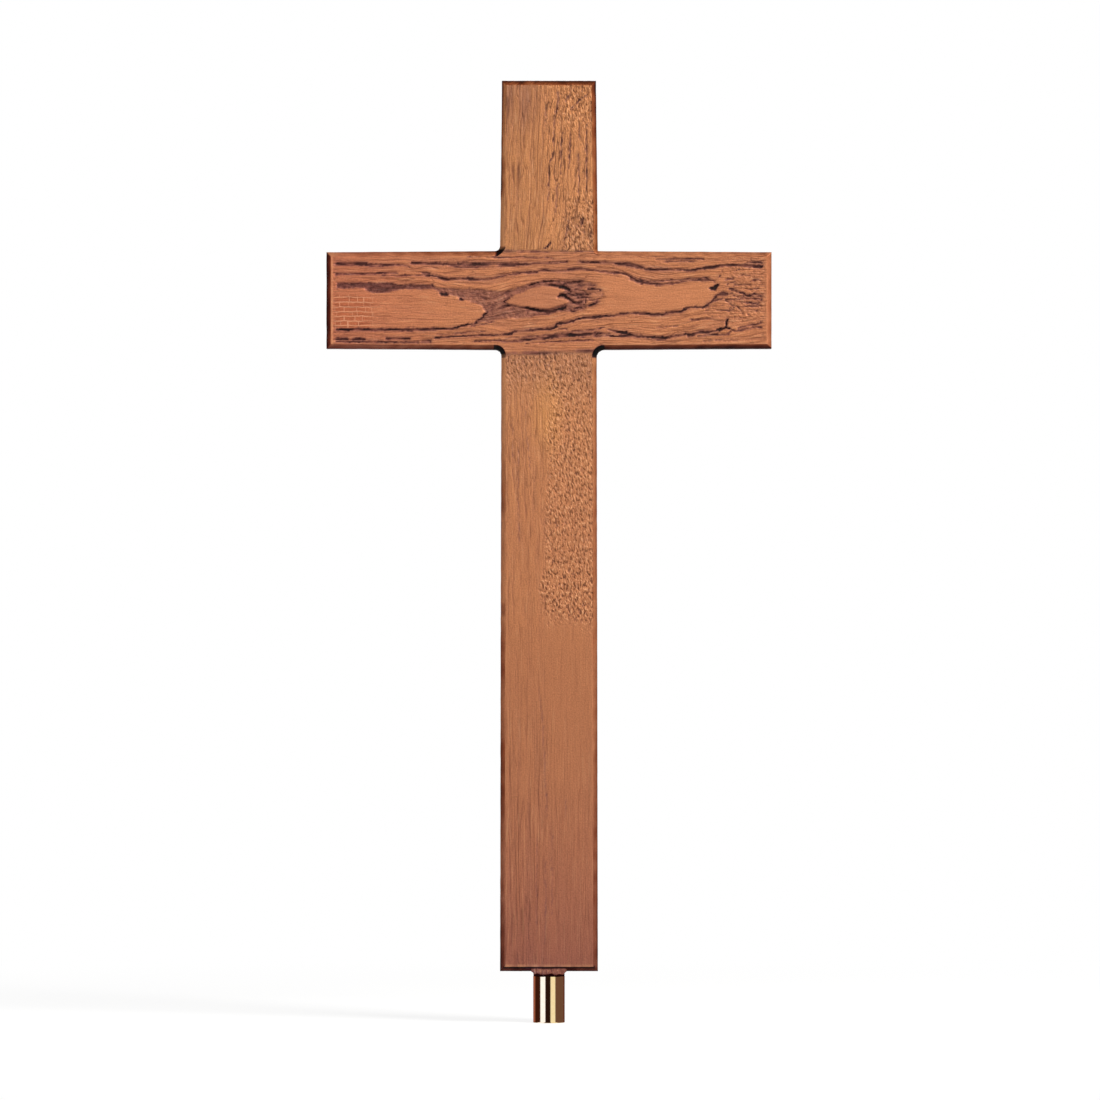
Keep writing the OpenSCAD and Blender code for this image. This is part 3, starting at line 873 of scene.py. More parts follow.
def draw_cracks(at, drawing, area, heights, cracks, depth, shade, soft):
    """Draws cracks along the arm or the post, each with its own broken edges."""
    x, z = at.x[area], at.z[area]
    jx = x + 0.35 * wobble(x, z, 21, 6) + 0.22 * wobble(x, z, 22, 2.3)
    broken = np.clip(0.72 + 0.5 * wobble(x, z / 2, 23, 3), 0, 1)
    for crack in cracks:
        hit = groove(jx, heights[area], smooth_curve(crack), soft) * broken
        drawing.press(hit, depth, shade, area)


def draw_uprights(at, drawing):
    """Draws the shades, cracks and spots of the upper arm and the post."""
    x, above, below = at.x, at.above, at.below
    arm_shade = (0.18 * smoothstep(60, 108, above) * fades(-18, 4, x)
                 + 0.07 * fades(16, 44, above) * smoothstep(5, 15, x))
    post_shade = 0.12 * fades(6, 46, below)
    drawing.darken(at.front * np.where(at.on_top, arm_shade, at.on_post * post_shade))
    top, post = at.seen(at.on_top), at.seen(at.on_post)
    draw_cracks(at, drawing, top, above, TOP_CRACKS, depth=0.8, shade=0.62, soft=0.30)
    draw_cracks(at, drawing, top, above, TOP_SOFT, depth=0.30, shade=0.12, soft=0.7)
    draw_cracks(at, drawing, post, below, POST_CRACKS, depth=0.35, shade=0.34, soft=0.45)
    for spot in TOP_BLACK:
        hit = inside(x[top], above[top], spot, -0.35, 0.4)
        drawing.press(hit, depth=1.2, shade=1.0, where=top)


def draw_joints(at, drawing):
    """Draws the lines where the crossbar's grain ends over the arm and the post."""
    middle = at.seen(at.between)
    x, rise, level = at.x[middle], at.rise[middle], np.zeros(len(middle))
    wave = 0.3 * wobble(x, level, 31, 9)
    lower = near(rise - at.joint[middle] - wave, 0.75)
    upper = near(rise - BAR_HALF + 0.4 - wave, 0.6)
    dashes = smoothstep(-0.5, 0.3, wobble(x, level, 32, 11))
    line = np.maximum(lower, upper * (0.35 + 0.65 * dashes))
    drawing.press(line, JOINT_CUT, shade=0.62, where=middle)


def bark_and_streaks(at, sunk, island):
    """How much each point has of the bark, the soft streaks, the painted grain, the
    cracked skin and the left end's crazing."""
    x, above, below = at.x, at.above, at.below
    faced = at.front > 0.5
    edge = 2.5 * wobble(x, at.z, 41, 38)
    half = smoothstep(-4.5, 1.5, x + edge + np.where(at.on_top, 2.5, 1.0))
    patches = np.maximum(smoothstep(74, 92, above + edge) * smoothstep(3, 14, x + edge),
                         fades(26, 46, above + edge) * smoothstep(6, 15, x + edge))
    arm_bark = np.maximum(half * (0.22 + 0.78 * patches),
                          0.45 * smoothstep(100, 112, above + edge) * smoothstep(-14, -4, x))
    reach = fades(ROUGH_REACH - 26, ROUGH_REACH + 6, below + 3 * edge)
    post_bark = (np.maximum(half * reach, fades(8, 46, below + edge))
                 * (0.85 + 0.45 * smoothstep(135, 172, below)))
    whorl = (smoothstep(80, 88, x / BAR_ALONG)
             * smoothstep(-70, -40, at.rise / BAR_HALF * 113)
             * smoothstep(0.2, GRAIN_EDGE, SPAN_HALF - CHAMFER - x))
    bark = np.where(at.is_bar, 0.40 * whorl + 0.35 * sunk,
                    np.where(at.on_top, arm_bark, at.on_post * post_bark))
    bark *= np.where(faced, 1, 0.15)
    plain = smoothstep(0.2, GRAIN_EDGE, SPAN_HALF - CHAMFER - np.abs(x))
    bar_streak = (1.0 - island * np.where(x < -31, 0.40, 0.70)) * (0.25 + 0.75 * plain)
    post_share = (0.8 - 0.42 * smoothstep(70, 210, below) + 0.38 * smoothstep(230, 320, below))
    streak = np.where(at.is_bar, bar_streak, (1 - 0.55 * np.maximum(bark, 0.8 * half))
                      * np.where(at.on_post, post_share, 1))
    cracked = at.front * np.where(at.on_top, half, np.where(at.on_post, 0.12, 0.3) * bark)
    crackle = (smoothstep(-146, -143, x) * fades(-126, -112, x) * at.is_bar * at.front
               * smoothstep(-19.5, -17, at.rise) * fades(1, 5, at.rise))
    return {"bark": np.where(at.on_pad, 0.5, bark), "streak": streak * np.where(faced, 1, 0.25),
            "grain": streak * np.where(faced, 1, 0.8), "cracked": cracked, "crackle": crackle}


def grain_run(at):
    """Places along and across the grain, in mm, unrolled over the chamfers on to the
    sides. The upper arm's and the post's grain leans, less and less away from the bar."""
    x, rise, is_bar = at.x, at.rise, at.is_bar
    level = np.zeros(at.count)
    level[is_bar] = flow(x[is_bar], rise[is_bar])
    leaning = np.where(x < 0, 0.25 + 0.75 * smoothstep(-34, -6, x), fades(2, 30, x))
    lean_reach = np.where(rise > 0, 110, 45)
    away = np.clip(np.abs(rise) - BAR_HALF, 0, None)
    bend = 0.085 * leaning * lean_reach * (1 - np.exp(-away / lean_reach))
    across = np.where(is_bar, level, x - bend)
    across = across + np.sign(across) * np.where(at.front > 0.5, 0, at.behind)
    across = np.where(at.back > 0.5, np.where(is_bar, rise, x) + 230, across)
    along = np.where(is_bar, x + 500, at.z + 0.5 * np.clip(at.below - 195, 0, None))
    end = is_bar & (np.abs(at.normal[:, 0]) > 0.9)
    return {"along": np.where(end, at.y + 700, along), "across": np.where(end, rise, across)}


def table_value(where, points):
    return np.interp(where, *zip(*points))


def edge_wear_and_shade(at):
    """How dark the edges are: dark patina, and painted shade by which way they face, and in the
    inner corners.
    """
    x, z, lap, lift, is_bar = at.x, at.z, at.below, at.above, at.is_bar
    near_front = fades(CHAMFER + 0.5, CHAMFER + 3.5, at.behind)
    outer = smoothstep(1.5, 2.9, at.behind) * near_front
    lip = smoothstep(0.5, 1.9, at.behind) * near_front
    on_sides = smoothstep(CHAMFER + 1, CHAMFER + 7, at.behind)
    on_arm = at.between & (lift > 1)
    leftward = np.where(on_arm, table_value(lift, ARM_LEFT_WEAR_AND_SHADE)
                        + 0.75 * outer * smoothstep(28, 40, lift),
                        np.where(is_bar, 1.25 + 0.2 * outer,
                                 table_value(lap, POST_LEFT_WEAR_AND_SHADE) + 0.04 + 0.12 * outer))
    rightward = np.where(on_arm, table_value(lift, ARM_RIGHT_WEAR_AND_SHADE),
                         np.where(is_bar, 0.33, table_value(lap, POST_RIGHT_WEAR_AND_SHADE)))
    rightward = rightward + outer * np.where(is_bar, 0.02, 0.15)
    under_bar = table_value(x, BAR_UNDER_WEAR_AND_SHADE) + table_value(x, BAR_UNDER_LIP) * np.where(x > 0, lip, outer)
    under = np.where(z < FOOT_Z + 8, 1.35 - 0.15 * smoothstep(-13, -5, x) - 0.36 * lip,
                     under_bar - 0.16)
    over = np.where(z > TOP_Z - 8, 0.84 + 0.15 * outer,
                    table_value(x, BAR_OVER_WEAR_AND_SHADE) + 0.15 * outer * (x < 0))
    # towards one even shade on the sides, away from the chamfer's dark wear and painted shade
    evened = 0.85 * on_sides
    leftward += evened * (np.where(is_bar, 0.50, 0.34) - leftward)
    under += evened * (0.48 - under)
    over += evened * (0.36 - over)
    wear_and_shade = leftward * at.left + rightward * at.right + under * at.down + over * at.up
    wear_and_shade += ((0.10 - 0.04 * on_sides) * (wear_and_shade > 0.05)
             * wobble(x + at.behind, z * (1 - 0.55 * on_sides) + 1.3 * at.y * on_sides, 51, 13))
    # painted shade: the left and lower inner corners' chamfers darkened as if in shadow
    sideways, upright = at.normal[:, 0], at.normal[:, 2]
    diagonal = (2 * np.abs(sideways * upright)
                / np.maximum(sideways ** 2 + upright ** 2, 1e-6))
    near_corner = np.hypot(np.abs(x) - POST_HALF, np.abs(at.rise) - BAR_HALF) < 7.5
    corner = smoothstep(0.10, 0.50, diagonal) * near_corner * ((x < 0) | (at.rise < 0))
    return at.lean * np.maximum(np.clip(wear_and_shade, 0, 1), corner)


def draw_edges(at, drawing):
    """Draws the nicks and the slot at the edges, paints shade round the lower inner corners, along
    the foot and on the crossbar's lower chamfers, and gives the edges' dark wear and painted shade.
    """
    x, z, lap = at.x, at.z, at.below
    nick = np.zeros(at.count)
    for high, low, much in POST_NICKS:
        nick = np.maximum(nick, much * smoothstep(high, high + 3, lap) * fades(low - 3, low, lap))
    nick *= at.left * at.lean * at.on_post * fades(CHAMFER, CHAMFER + 2, at.behind)
    uneven = np.clip(0.03 + 0.03 * wobble(x, z, 53, 16), 0, 1) * (1 + at.left)
    drawing.cut += 0.8 * nick + at.lean * uneven

    # painted shade: a dark curved line round the lower inner corners
    out_x, out_z = np.abs(x) - POST_HALF, np.abs(at.rise) - BAR_HALF
    in_turn = ((out_x < TURN_RADIUS + 0.5) & (out_z < TURN_RADIUS + 0.5)
               & (at.rise < 0) & (at.y < 0))
    from_turn = np.hypot(out_x - TURN_RADIUS, out_z - TURN_RADIUS) - TURN_RADIUS - CHAMFER
    drawing.darken(in_turn * fades(-0.5, 0.8, from_turn))
    # painted shade along the foot's lower chamfer
    foot_line = near(z - FOOT_Z - CHAMFER + 0.35, 0.5) * (at.y < 0)
    drawing.darken(foot_line * np.where(x < -12, 1.0, 0.75))
    # painted shade on the crossbar's chamfers that face down
    drawing.darken(0.24 * at.down * at.lean * at.is_bar)
    # the corner slot is cut in and painted black as shade
    slot = groove(x, at.rise, np.array(CORNER_SLOT), 0.4) * (at.behind < 5)
    drawing.press(slot, depth=1.1, shade=1.0)
    return np.maximum(edge_wear_and_shade(at), nick)


def painted_arris_highlights(at):
    """Painted highlights: bright lines along the arrises beside the dark chamfers, a bright facet
    and a spot at the crossbar's left end, and lighter left chamfers near the crossing.
    """
    x, z, rise, is_bar = at.x, at.z, at.rise, at.is_bar
    under_bar = is_bar & (np.abs(x) > POST_HALF + 3)
    arris_highlight = np.maximum.reduce([
        is_bar * near(x + SPAN_HALF - CHAMFER - 0.7, 0.65),
        under_bar * np.where(x < 0, 0.35, 0.8) * near(BAR_HALF - CHAMFER + rise - 0.7, 0.65),
        ~is_bar * near(z - FOOT_Z - CHAMFER - ARRIS, 0.35)])
    arris_highlight *= at.front * (0.75 + 0.3 * wobble(x, z, 52, 9))
    # painted highlight: the left chamfers lightened near the crossing
    left_edge = 0.45 * at.left * at.lean
    on_arm = at.between & (at.above > 1)
    # painted highlights: the bright top facet and the spot at the crossbar's left end
    return np.maximum.reduce([
        arris_highlight, 0.9 * at.up * at.lean * is_bar * fades(4, 11, x + SPAN_HALF),
        0.8 * near(np.hypot(x + 145.6, rise + 28.6), 1.1),
        left_edge * at.on_post * fades(48, 74, at.below),
        left_edge * on_arm * fades(22, 38, at.above)])


def draw_grain(piece, points, on_pad):
    """Writes what the relief tree and the patina need on every point of the cross."""
    at = Surface(piece, points, on_pad)
    drawing = Drawing(at.count)
    sunk, island = draw_bar(at, drawing)
    draw_uprights(at, drawing)
    draw_joints(at, drawing)
    edge_dark = draw_edges(at, drawing)
    # painted shade: the pad's lower edge above the pin darkens in a scalloped band
    scallop = SHOULDER + 1.5 + 0.55 * wobble(at.x, at.y, 61, 7)
    pad_dark = smoothstep(0.5, -0.3, at.z - scallop) * 0.97 + 0.10
    layers = {"cut": drawing.cut, "dark": drawing.dark, "sunk": sunk,
              "on_bar": at.is_bar, "arris_highlight": painted_arris_highlights(at),
              "edge_dark": np.clip(np.where(on_pad, pad_dark, edge_dark), 0, 1),
              **bark_and_streaks(at, sunk, island), **grain_run(at)}
    for name, values in layers.items():
        layer = piece.data.attributes.new(name, "FLOAT", "POINT")
        layer.data.foreach_set("value", np.asarray(values, dtype=np.float32))


# ---------------------------------------------------------------- the relief tree
def relief_tree(material):
    """Geometry nodes that press the wood's relief into a body: the drawn grooves, soft
    streaks along the grain, and bark with pits."""
    tree = bpy.data.node_groups.new("cast_wood_relief", "GeometryNodeTree")
    face = tree.interface
    face.new_socket("Geometry", in_out="INPUT", socket_type="NodeSocketGeometry")
    for name, value in (("Groove Depth", 1.0), ("Streak Depth", 0.3), ("Streak Pitch", 3.0),
                        ("Bark Depth", 0.7), ("Bark Pitch", 3.0), ("Seed", 3.0)):
        item = face.new_socket(name, in_out="INPUT", socket_type="NodeSocketFloat")
        item.default_value = value
    face.new_socket("Geometry", in_out="OUTPUT", socket_type="NodeSocketGeometry")
    start = tree.nodes.new("NodeGroupInput").outputs

    def size(name):
        return Value(tree, start[name])

    def field(name):
        node = put(tree, "GeometryNodeInputNamedAttribute", {"Name": name}, data_type="FLOAT")
        return Value(tree, node.outputs[0])

    across, along, seed = field("across"), field("along"), size("Seed")
    bark, streak, sunk = field("bark"), field("streak"), field("sunk")
    streak_pitch, bark_pitch = size("Streak Pitch"), size("Bark Pitch")

    def grain_noise(pitch, stretch, detail, offset, distortion=0.0):
        place = joined(tree, across / pitch, along / (pitch * stretch), seed + offset)
        return noise(tree, place, detail, 0.55, distortion)

    broad = grain_noise(streak_pitch, 16.0, 2.0, 0.0)
    fine = grain_noise(streak_pitch * 0.42, 20.0, 1.0, 7.3)
    lumps = grain_noise(bark_pitch, 2.3, 3.0, 21.0, 0.8)
    chips = grain_noise(bark_pitch * 0.55, 2.0, 2.0, 33.0, 0.5)
    lines = broad.remap(0.35, 0.66) * 0.6 + fine.remap(0.38, 0.62) * 0.4
    pits = chips.remap(0.44, 0.31) * lumps.remap(0.60, 0.42)
    rough = lumps.remap(0.66, 0.34) * 0.45 + pits * 0.55
    grit = chips.remap(0.62, 0.36) * sunk
    height = (field("cut") * size("Groove Depth") + (1.0 - lines) * streak * size("Streak Depth")
              + rough * bark * size("Bark Depth") + grit * 0.25)
    inward = put(tree, "ShaderNodeVectorMath",
                 {0: put(tree, "GeometryNodeInputNormal").outputs[0], "Scale": height * -MM},
                 operation="SCALE")
    # dark patina in the grooves and pits, and the painted shade drawn at the edges
    recess_and_shade = (field("dark") + pits * bark * 0.26 + (0.09 - lines * 0.13) * streak
              + sunk * 0.25 + grit * 0.12).clamped()
    # ridge: the bark's raised lumps, lightened later as rubbed high points and painted highlight
    ridge = (lumps.remap(0.50, 0.66) * bark * (1.0 - recess_and_shade)).clamped()

    shape = start["Geometry"]
    for name, value in (("recess_and_shade", recess_and_shade), ("ridge", ridge)):
        shape = put(tree, "GeometryNodeStoreNamedAttribute",
                    {"Geometry": shape, "Name": name, "Value": value},
                    data_type="FLOAT", domain="POINT").outputs[0]
    moved = put(tree, "GeometryNodeSetPosition",
                {"Geometry": shape, "Offset": inward.outputs[0]})
    solid = put(tree, "GeometryNodeRealizeInstances", {"Geometry": moved.outputs[0]})
    dressed = put(tree, "GeometryNodeSetMaterial",
                  {"Geometry": solid.outputs[0], "Material": material})
    put(tree, "NodeGroupOutput", {"Geometry": dressed.outputs[0]})
    return tree


def press(piece, tree, **sizes):
    """Runs the tree on the piece and leaves its result as a plain mesh."""
    modifier = piece.modifiers.new("relief", "NODES")
    modifier.node_group = tree
    sockets = {item.name: item.identifier for item in tree.interface.items_tree
               if item.in_out == "INPUT"}
    for name, value in sizes.items():
        modifier[sockets[name.replace("_", " ").title()]] = value
    graph = bpy.context.evaluated_depsgraph_get()
    result = bpy.data.meshes.new_from_object(
        piece.evaluated_get(graph), preserve_all_data_layers=True, depsgraph=graph)
    piece.modifiers.remove(modifier)
    old, piece.data = piece.data, result
    bpy.data.meshes.remove(old)
    result.name = piece.name
    result.shade_smooth()


# ---------------------------------------------------------------- shared shader group
def metal_skin():
    """Cast metal's fine skin: a mottling mask and a height, at a given grain size."""
    tree = bpy.data.node_groups.new("metal_skin", "ShaderNodeTree")
    for label, kind, way in (("Vector", "Vector", "INPUT"), ("Grain Size", "Float", "INPUT"),
                             ("Contrast", "Float", "INPUT"), ("Mottle", "Float", "OUTPUT"),
                             ("Height", "Float", "OUTPUT")):
        tree.interface.new_socket(label, in_out=way, socket_type="NodeSocket" + kind)
    given = {socket.name: Value(tree, socket)
             for socket in tree.nodes.new("NodeGroupInput").outputs}
    rate = 1000.0 / given["Grain Size"]
    coarse = noise(tree, given["Vector"], 3.0, 0.6, scale=rate)
    wide = noise(tree, given["Vector"], 2.0, scale=rate / 14.0)
    total = (wide - 0.5) * 0.12 + (coarse - 0.5)
    put(tree, "NodeGroupOutput", {"Mottle": (total * given["Contrast"] + 0.5).clamped(),
                                  "Height": coarse})
    return tree


SKIN = metal_skin()


def skinned_material(name, grain, contrast):
    """A material with a shader, its place and axes, and the metal's skin at this grain."""
    material, tree = bare_material(name)
    shader = put(tree, "ShaderNodeBsdfPrincipled")
    put(tree, "ShaderNodeOutputMaterial", {"Surface": shader.outputs[0]})
    place, axes = object_place(tree)
    skin = put(tree, "ShaderNodeGroup",
               {"Vector": place, "Grain Size": grain, "Contrast": contrast}, node_tree=SKIN)
    return material, tree, shader, axes, skin.outputs


# ---------------------------------------------------------------- the patina
HIGHLIGHT_COPPER = srgb(236, 176, 128)
GOLD = srgb(216, 152, 82)
ARRIS_HIGHLIGHT_COLOUR = srgb(226, 158, 112)
# The post's colours from the foot up: redder and darker at the foot, golden at the top, partly the
# patina's own tone and partly painted shade.
POST_COLOURS = [(0.0, srgb(156, 94, 74)), (0.10, srgb(172, 107, 78)),
                (0.22, srgb(180, 115, 79)), (0.35, srgb(181, 116, 78)),
                (0.43, srgb(188, 122, 81)), (0.50, srgb(188, 122, 81)),
                (0.68, srgb(192, 128, 83)), (0.80, srgb(190, 128, 82)),
                (1.0, srgb(186, 123, 77))]
BAR_COLOURS = [(0.0, srgb(195, 116, 82)), (0.3, srgb(198, 126, 85)),
               (0.55, srgb(194, 124, 84)), (0.85, srgb(192, 123, 82)),
               (1.0, srgb(186, 117, 79))]
RECESS_AND_SHADE_TINTS = [(0.0, WHITE), (0.25, (0.66, 0.66, 0.88, 1)), (0.45, (0.42, 0.38, 0.58, 1)),
                (0.65, (0.20, 0.155, 0.25, 1)), (0.85, (0.08, 0.05, 0.075, 1)),
                (1.0, (0.03, 0.02, 0.03, 1))]
EDGE_TINTS = [(0.0, WHITE), (0.5, (0.47, 0.29, 0.21, 1)), (0.8, (0.20, 0.085, 0.065, 1)),
              (1.0, (0.05, 0.014, 0.018, 1))]


def patina_bronze():
    """Copper-brown patina over cast bronze: golden at the top, redder and darker at the foot,
    partly its own tone and partly painted shade, with dark brown left in the recesses, dark patina
    and painted shade on the edges that face down and left, and painted highlights on the arrises
    and the bark."""
    material, tree, shader, (x, _, z), cast = skinned_material("patinated_bronze", 1.0, 1.8)

    def on_point(name):
        return Value(tree, put(tree, "ShaderNodeAttribute",
                               attribute_name=name).outputs["Fac"])

    across, along, on_bar_area = on_point("across"), on_point("along"), on_point("on_bar")
    bark, grain, cracked = on_point("bark"), on_point("grain"), on_point("cracked")
    recess_and_shade, edge, crazed = on_point("recess_and_shade"), on_point("edge_dark"), on_point("crackle")

    def tinted(base, tint):
        return mix_colour(tree, 1.0, base, tint, "MULTIPLY")

    def stained(base, amount, tint):
        return mix_colour(tree, amount, base, tinted(base, tint))

    def hairs(pitch, stretch, offset):
        """Noise drawn out along the grain."""
        place = joined(tree, across / pitch, along / (pitch * stretch), offset)
        return noise(tree, place, 2.0, 0.6)

    def strands(pitch, sway, offset, wide=0.21, length=24.0, least=0.42):
        """Long lines side by side along the grain; each one comes and goes by itself."""
        phase = hairs(7.0, 9.0, offset) * sway + across / pitch
        own = noise(tree, joined(tree, phase.floor() * 7.3, along / length, offset), 1.0)
        return (abs(phase.fraction() - 0.5).remap(wide, wide * 0.15)
                * own.remap(least, least + 0.17))

    def contour(pitch, stretch, offset, wide):
        """Thin wandering lines along the grain, like the edges of its rings."""
        return abs(hairs(pitch, stretch, offset) - 0.5).remap(wide, wide * 0.22)

    # the ground: its own colour up the post, darker towards the foot partly as painted shade, and
    # along the crossbar, and a golden patch on the post under the crossing
    height = z.remap(FOOT_Z * MM, TOP_Z * MM, kind="LINEAR")
    width = x.remap(-SPAN_HALF * MM, SPAN_HALF * MM, kind="LINEAR")
    gold_z = BAR_Z - BAR_HALF - 42
    gold = length_of(tree, joined(tree, x * (1 / (11 * MM)) + 0.1,
                                  (z - gold_z * MM) / (34 * MM)))
    post = mix_colour(tree, gold.remap(1.3, 0.1, 0.0, 0.32),
                      ramp(tree, height, POST_COLOURS), GOLD)
    colour = mix_colour(tree, on_bar_area, post, ramp(tree, width, BAR_COLOURS))
    colour = tinted(colour, ramp(tree, cast["Mottle"], [(0.0, grey(0.74)), (0.5, WHITE),
                                                        (1.0, grey(1.22))]))
    colour = tinted(colour, ramp(tree, cracked, [(0.0, WHITE), (1.0, (1.13, 1.12, 1.12, 1))]))

    # lines and veins along the grain, the bark's dark chips, and painted highlights on its bright
    # ridges
    fine, long = hairs(0.95, 18.0, 4.0), hairs(2.6, 26.0, 9.0)
    lines = fine.remap(0.50, 0.66) * long.remap(0.36, 0.62, 0.25, 1.0) * grain
    upright = strands(2.9, 4.2, 31.0, 0.19, 40.0)
    level = (strands(1.7, 3.2, 35.0, 0.17) * 0.85).most(
        strands(4.4, 3.4, 37.0, 0.09, 40.0, 0.40))
    strand = on_bar_area * (level - upright) + upright
    veins = (contour(3.4, 12.0, 14.0, 0.026) * 0.6).most(strand) * grain
    cracks = (strands(4.3, 5.5, 44.0, 0.10, 15.0, 0.36) * cracked).clamped()
    fissures = (contour(3.6, 6.5, 47.0, 0.022) * (cracked * 0.55)).clamped()
    chip_place = joined(tree, along * 0.20 + across / 1.25, along / 2.6, 3.0)
    chip = noise(tree, chip_place, 1.5, 0.5, 0.4)
    chips = (chip.remap(0.46, 0.37) * bark).clamped().most(cracks.most(fissures))
    colour = stained(colour, lines * 0.42, (0.36, 0.30, 0.38, 1))
    colour = stained(colour, veins * 0.72, (0.36, 0.28, 0.32, 1))
    colour = stained(colour, chips * 0.84, (0.26, 0.21, 0.24, 1))
    # painted highlights on the bark's raised spots
    glow = (chip.remap(0.54, 0.68) * bark).clamped()
    colour = mix_colour(tree, glow * (cracked * -0.10 + 0.51), colour, HIGHLIGHT_COPPER)
    # painted glints along the grain
    glints = fine.remap(0.44, 0.32) * (grain * 0.20 + 0.05)
    colour = mix_colour(tree, glints, colour, HIGHLIGHT_COPPER)

    # the little oblong crazing at the crossbar's left end, every row with its own lengths
    row = hairs(4.0, 2.0, 54.0) * 1.5 + across
    row_number = (row / CRAZE_ROW).floor()
    own_length = noise(tree, joined(tree, row_number * 5.7, along / 9.0, 61.0), 1.0)
    crazing = put(tree, "ShaderNodeTexBrick", {
        "Vector": joined(tree, own_length * 17.0 + along, row), "Scale": 1.0,
        "Mortar Size": 0.40, "Mortar Smooth": 0.75, "Brick Width": 7.0,
        "Row Height": CRAZE_ROW})
    colour = stained(colour, crazed * 0.8, (0.86, 0.70, 0.62, 1))
    colour = mix_colour(tree, crazed * crazing.outputs["Fac"] * 0.62, colour,
                        srgb(232, 168, 128))

    # what the relief and the edges do to it: dark patina and painted shade in the recesses and on
    # the edges, and lighter ridges and arrises
    colour = tinted(colour, ramp(tree, recess_and_shade, RECESS_AND_SHADE_TINTS))
    # the ridges lightened: rubbed high points and painted highlight
    colour = tinted(colour, ramp(tree, on_point("ridge"),
                                 [(0.0, WHITE), (1.0, (1.14, 1.18, 1.20, 1))]))
    colour = tinted(colour, ramp(tree, edge, EDGE_TINTS))
    # painted highlight along the arrises
    colour = mix_colour(tree, on_point("arris_highlight") * 0.62, colour, ARRIS_HIGHLIGHT_COLOUR)
    relief = (Value(tree, cast["Height"]) + lines * -0.8 + veins * -0.9 + chips * -2.6
              + glow)
    bump = put(tree, "ShaderNodeBump", {"Height": relief, "Strength": 0.65,
                                        "Distance": 0.0004})
    feed(shader, {"Base Color": colour, "Specular IOR Level": 0.26,
                  "Roughness": (Value(tree, cast["Mottle"]) * 0.12
                                + (recess_and_shade * 0.25 + 0.46)).clamped(),
                  "Metallic": (recess_and_shade * -0.40 + (edge * 0.55 + 0.42)).clamped(),
                  "Normal": bump.outputs[0]})
    return material


def bright_brass():
    """Turned and polished brass, with faint lines round it from the lathe."""
    material, tree, shader, (_, _, z), marks = skinned_material("polished_brass", 2.5, 1.0)
    turned = noise(tree, joined(tree, z=z), 2.0, scale=2600.0)
    colour = mix_colour(tree, marks["Mottle"], srgb(222, 178, 112), srgb(238, 200, 138))
    feed(shader, {"Base Color": colour, "Metallic": 1.0, "Roughness": turned * 0.05 + 0.05})
    return material


BRONZE = patina_bronze()
BRASS = bright_brass()


# ---------------------------------------------------------------- pieces
def make_cross():
    body_points, body_faces = blank_mesh()
    pad_points, pad_faces = pad_shell()
    faces = np.vstack([body_faces, pad_faces + len(body_points)])
    points = np.vstack([body_points, pad_points])
    piece = mesh_object("cross_casting", points, faces)
    draw_grain(piece, points, np.arange(len(points)) >= len(body_points))
    press(piece, relief_tree(BRONZE), groove_depth=1.0, streak_depth=0.36,
          streak_pitch=3.1, bark_depth=1.10, bark_pitch=3.1, seed=3.0)
    return piece


def lathe(name, profile, around, material):
    """A closed turned piece: profile is (radius, height) in mm, from bottom to top, and
    the first and the last point lie on the axis."""
    turn = np.linspace(0, math.tau, around, endpoint=False)
    rows = [np.stack([radius * np.cos(turn), radius * np.sin(turn), 0 * turn + height], axis=1)
            for radius, height in profile[1:-1]]
    points = np.vstack([[[0, 0, profile[0][1]]], *rows, [[0, 0, profile[-1][1]]]])
    piece = mesh_object(name, points, turned_faces(len(rows), around))
    piece.data.materials.append(material)
    return piece


def make_pin():
    """The polished pin, with rounded edges at its lower end and its shoulder."""
    r, top, spigot = PIN_RADIUS, SHOULDER, SPIGOT_RADIUS
    rounded = [(0.5, 0), (0.22, 0), (0.06, 0.06), (0, 0.22), (0, 0.5), (0, 1.2)]
    profile = [(0, 0), *[(r - inset_by, z) for inset_by, z in rounded],
               (r, 8), (r, 16), (r, 24),
               *[(r - inset_by, top - z) for inset_by, z in reversed(rounded)],
               (spigot + 0.4, top), (spigot, top), (spigot, top + 0.6),
               (spigot, PIN_TOP - 0.8), (spigot, PIN_TOP - 0.3), (spigot - 0.3, PIN_TOP),
               (spigot - 0.7, PIN_TOP), (0, PIN_TOP)]
    return lathe("fixing_pin_turned", profile, 160, BRASS)


cross = make_cross()
pin = make_pin()
for piece, node, finish in ((cross, "cross", "patinated_bronze"),
                            (pin, "fixing_pin", "polished_brass")):
    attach(piece, "root")
    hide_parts(node)


# ---------------------------------------------------------------- stage, lights and camera
FLOOR_REACH = 12.0        # metres from the object to the floor's edge
PAPER_PAINT = 0.4         # how much light the floor throws back on the object
PAPER_GLOW = 0.84
SHADOW_SHARE = 0.2
SHADOW_FADE = (0.35, 0.95)  # metres from the object over which its shadow fades
AMBIENT = 0.27
CARD_RADIUS = 22.0
CARD_GLOW = 3.0
CARD_POINTS = 96
# What the polished pin mirrors, from its left side to its right. Each row is where a
# band starts across the pin, -1 to 1, and the card's colour there.
PIN_CARDS = [
    (-1.0, (0.40, 0.17, 0.165)), (-0.87, (0.055, 0.017, 0.016)),
    (-0.54, (1.35, 1.85, 3.9)), (-0.235, (0.028, 0.013, 0.014)),
    (0.10, (1.15, 1.38, 1.80)), (0.40, (0.185, 0.122, 0.14)),
    (0.90, (0.15, 0.06, 0.055))]
CAMERA_DISTANCE = 6.0     # metres in front of the face
CAMERA_WIDTH = 0.7407     # metres that the camera takes in there
CAMERA_AIM = (0.0007, 0.3188)
SENSOR = 36.0


def stage_mesh(name, points, faces, material):
    mesh = bpy.data.meshes.new(name)
    mesh.from_pydata(points, [], faces)
    mesh.materials.append(material)
    piece = show(bpy.data.objects.new(name, mesh))
    return piece


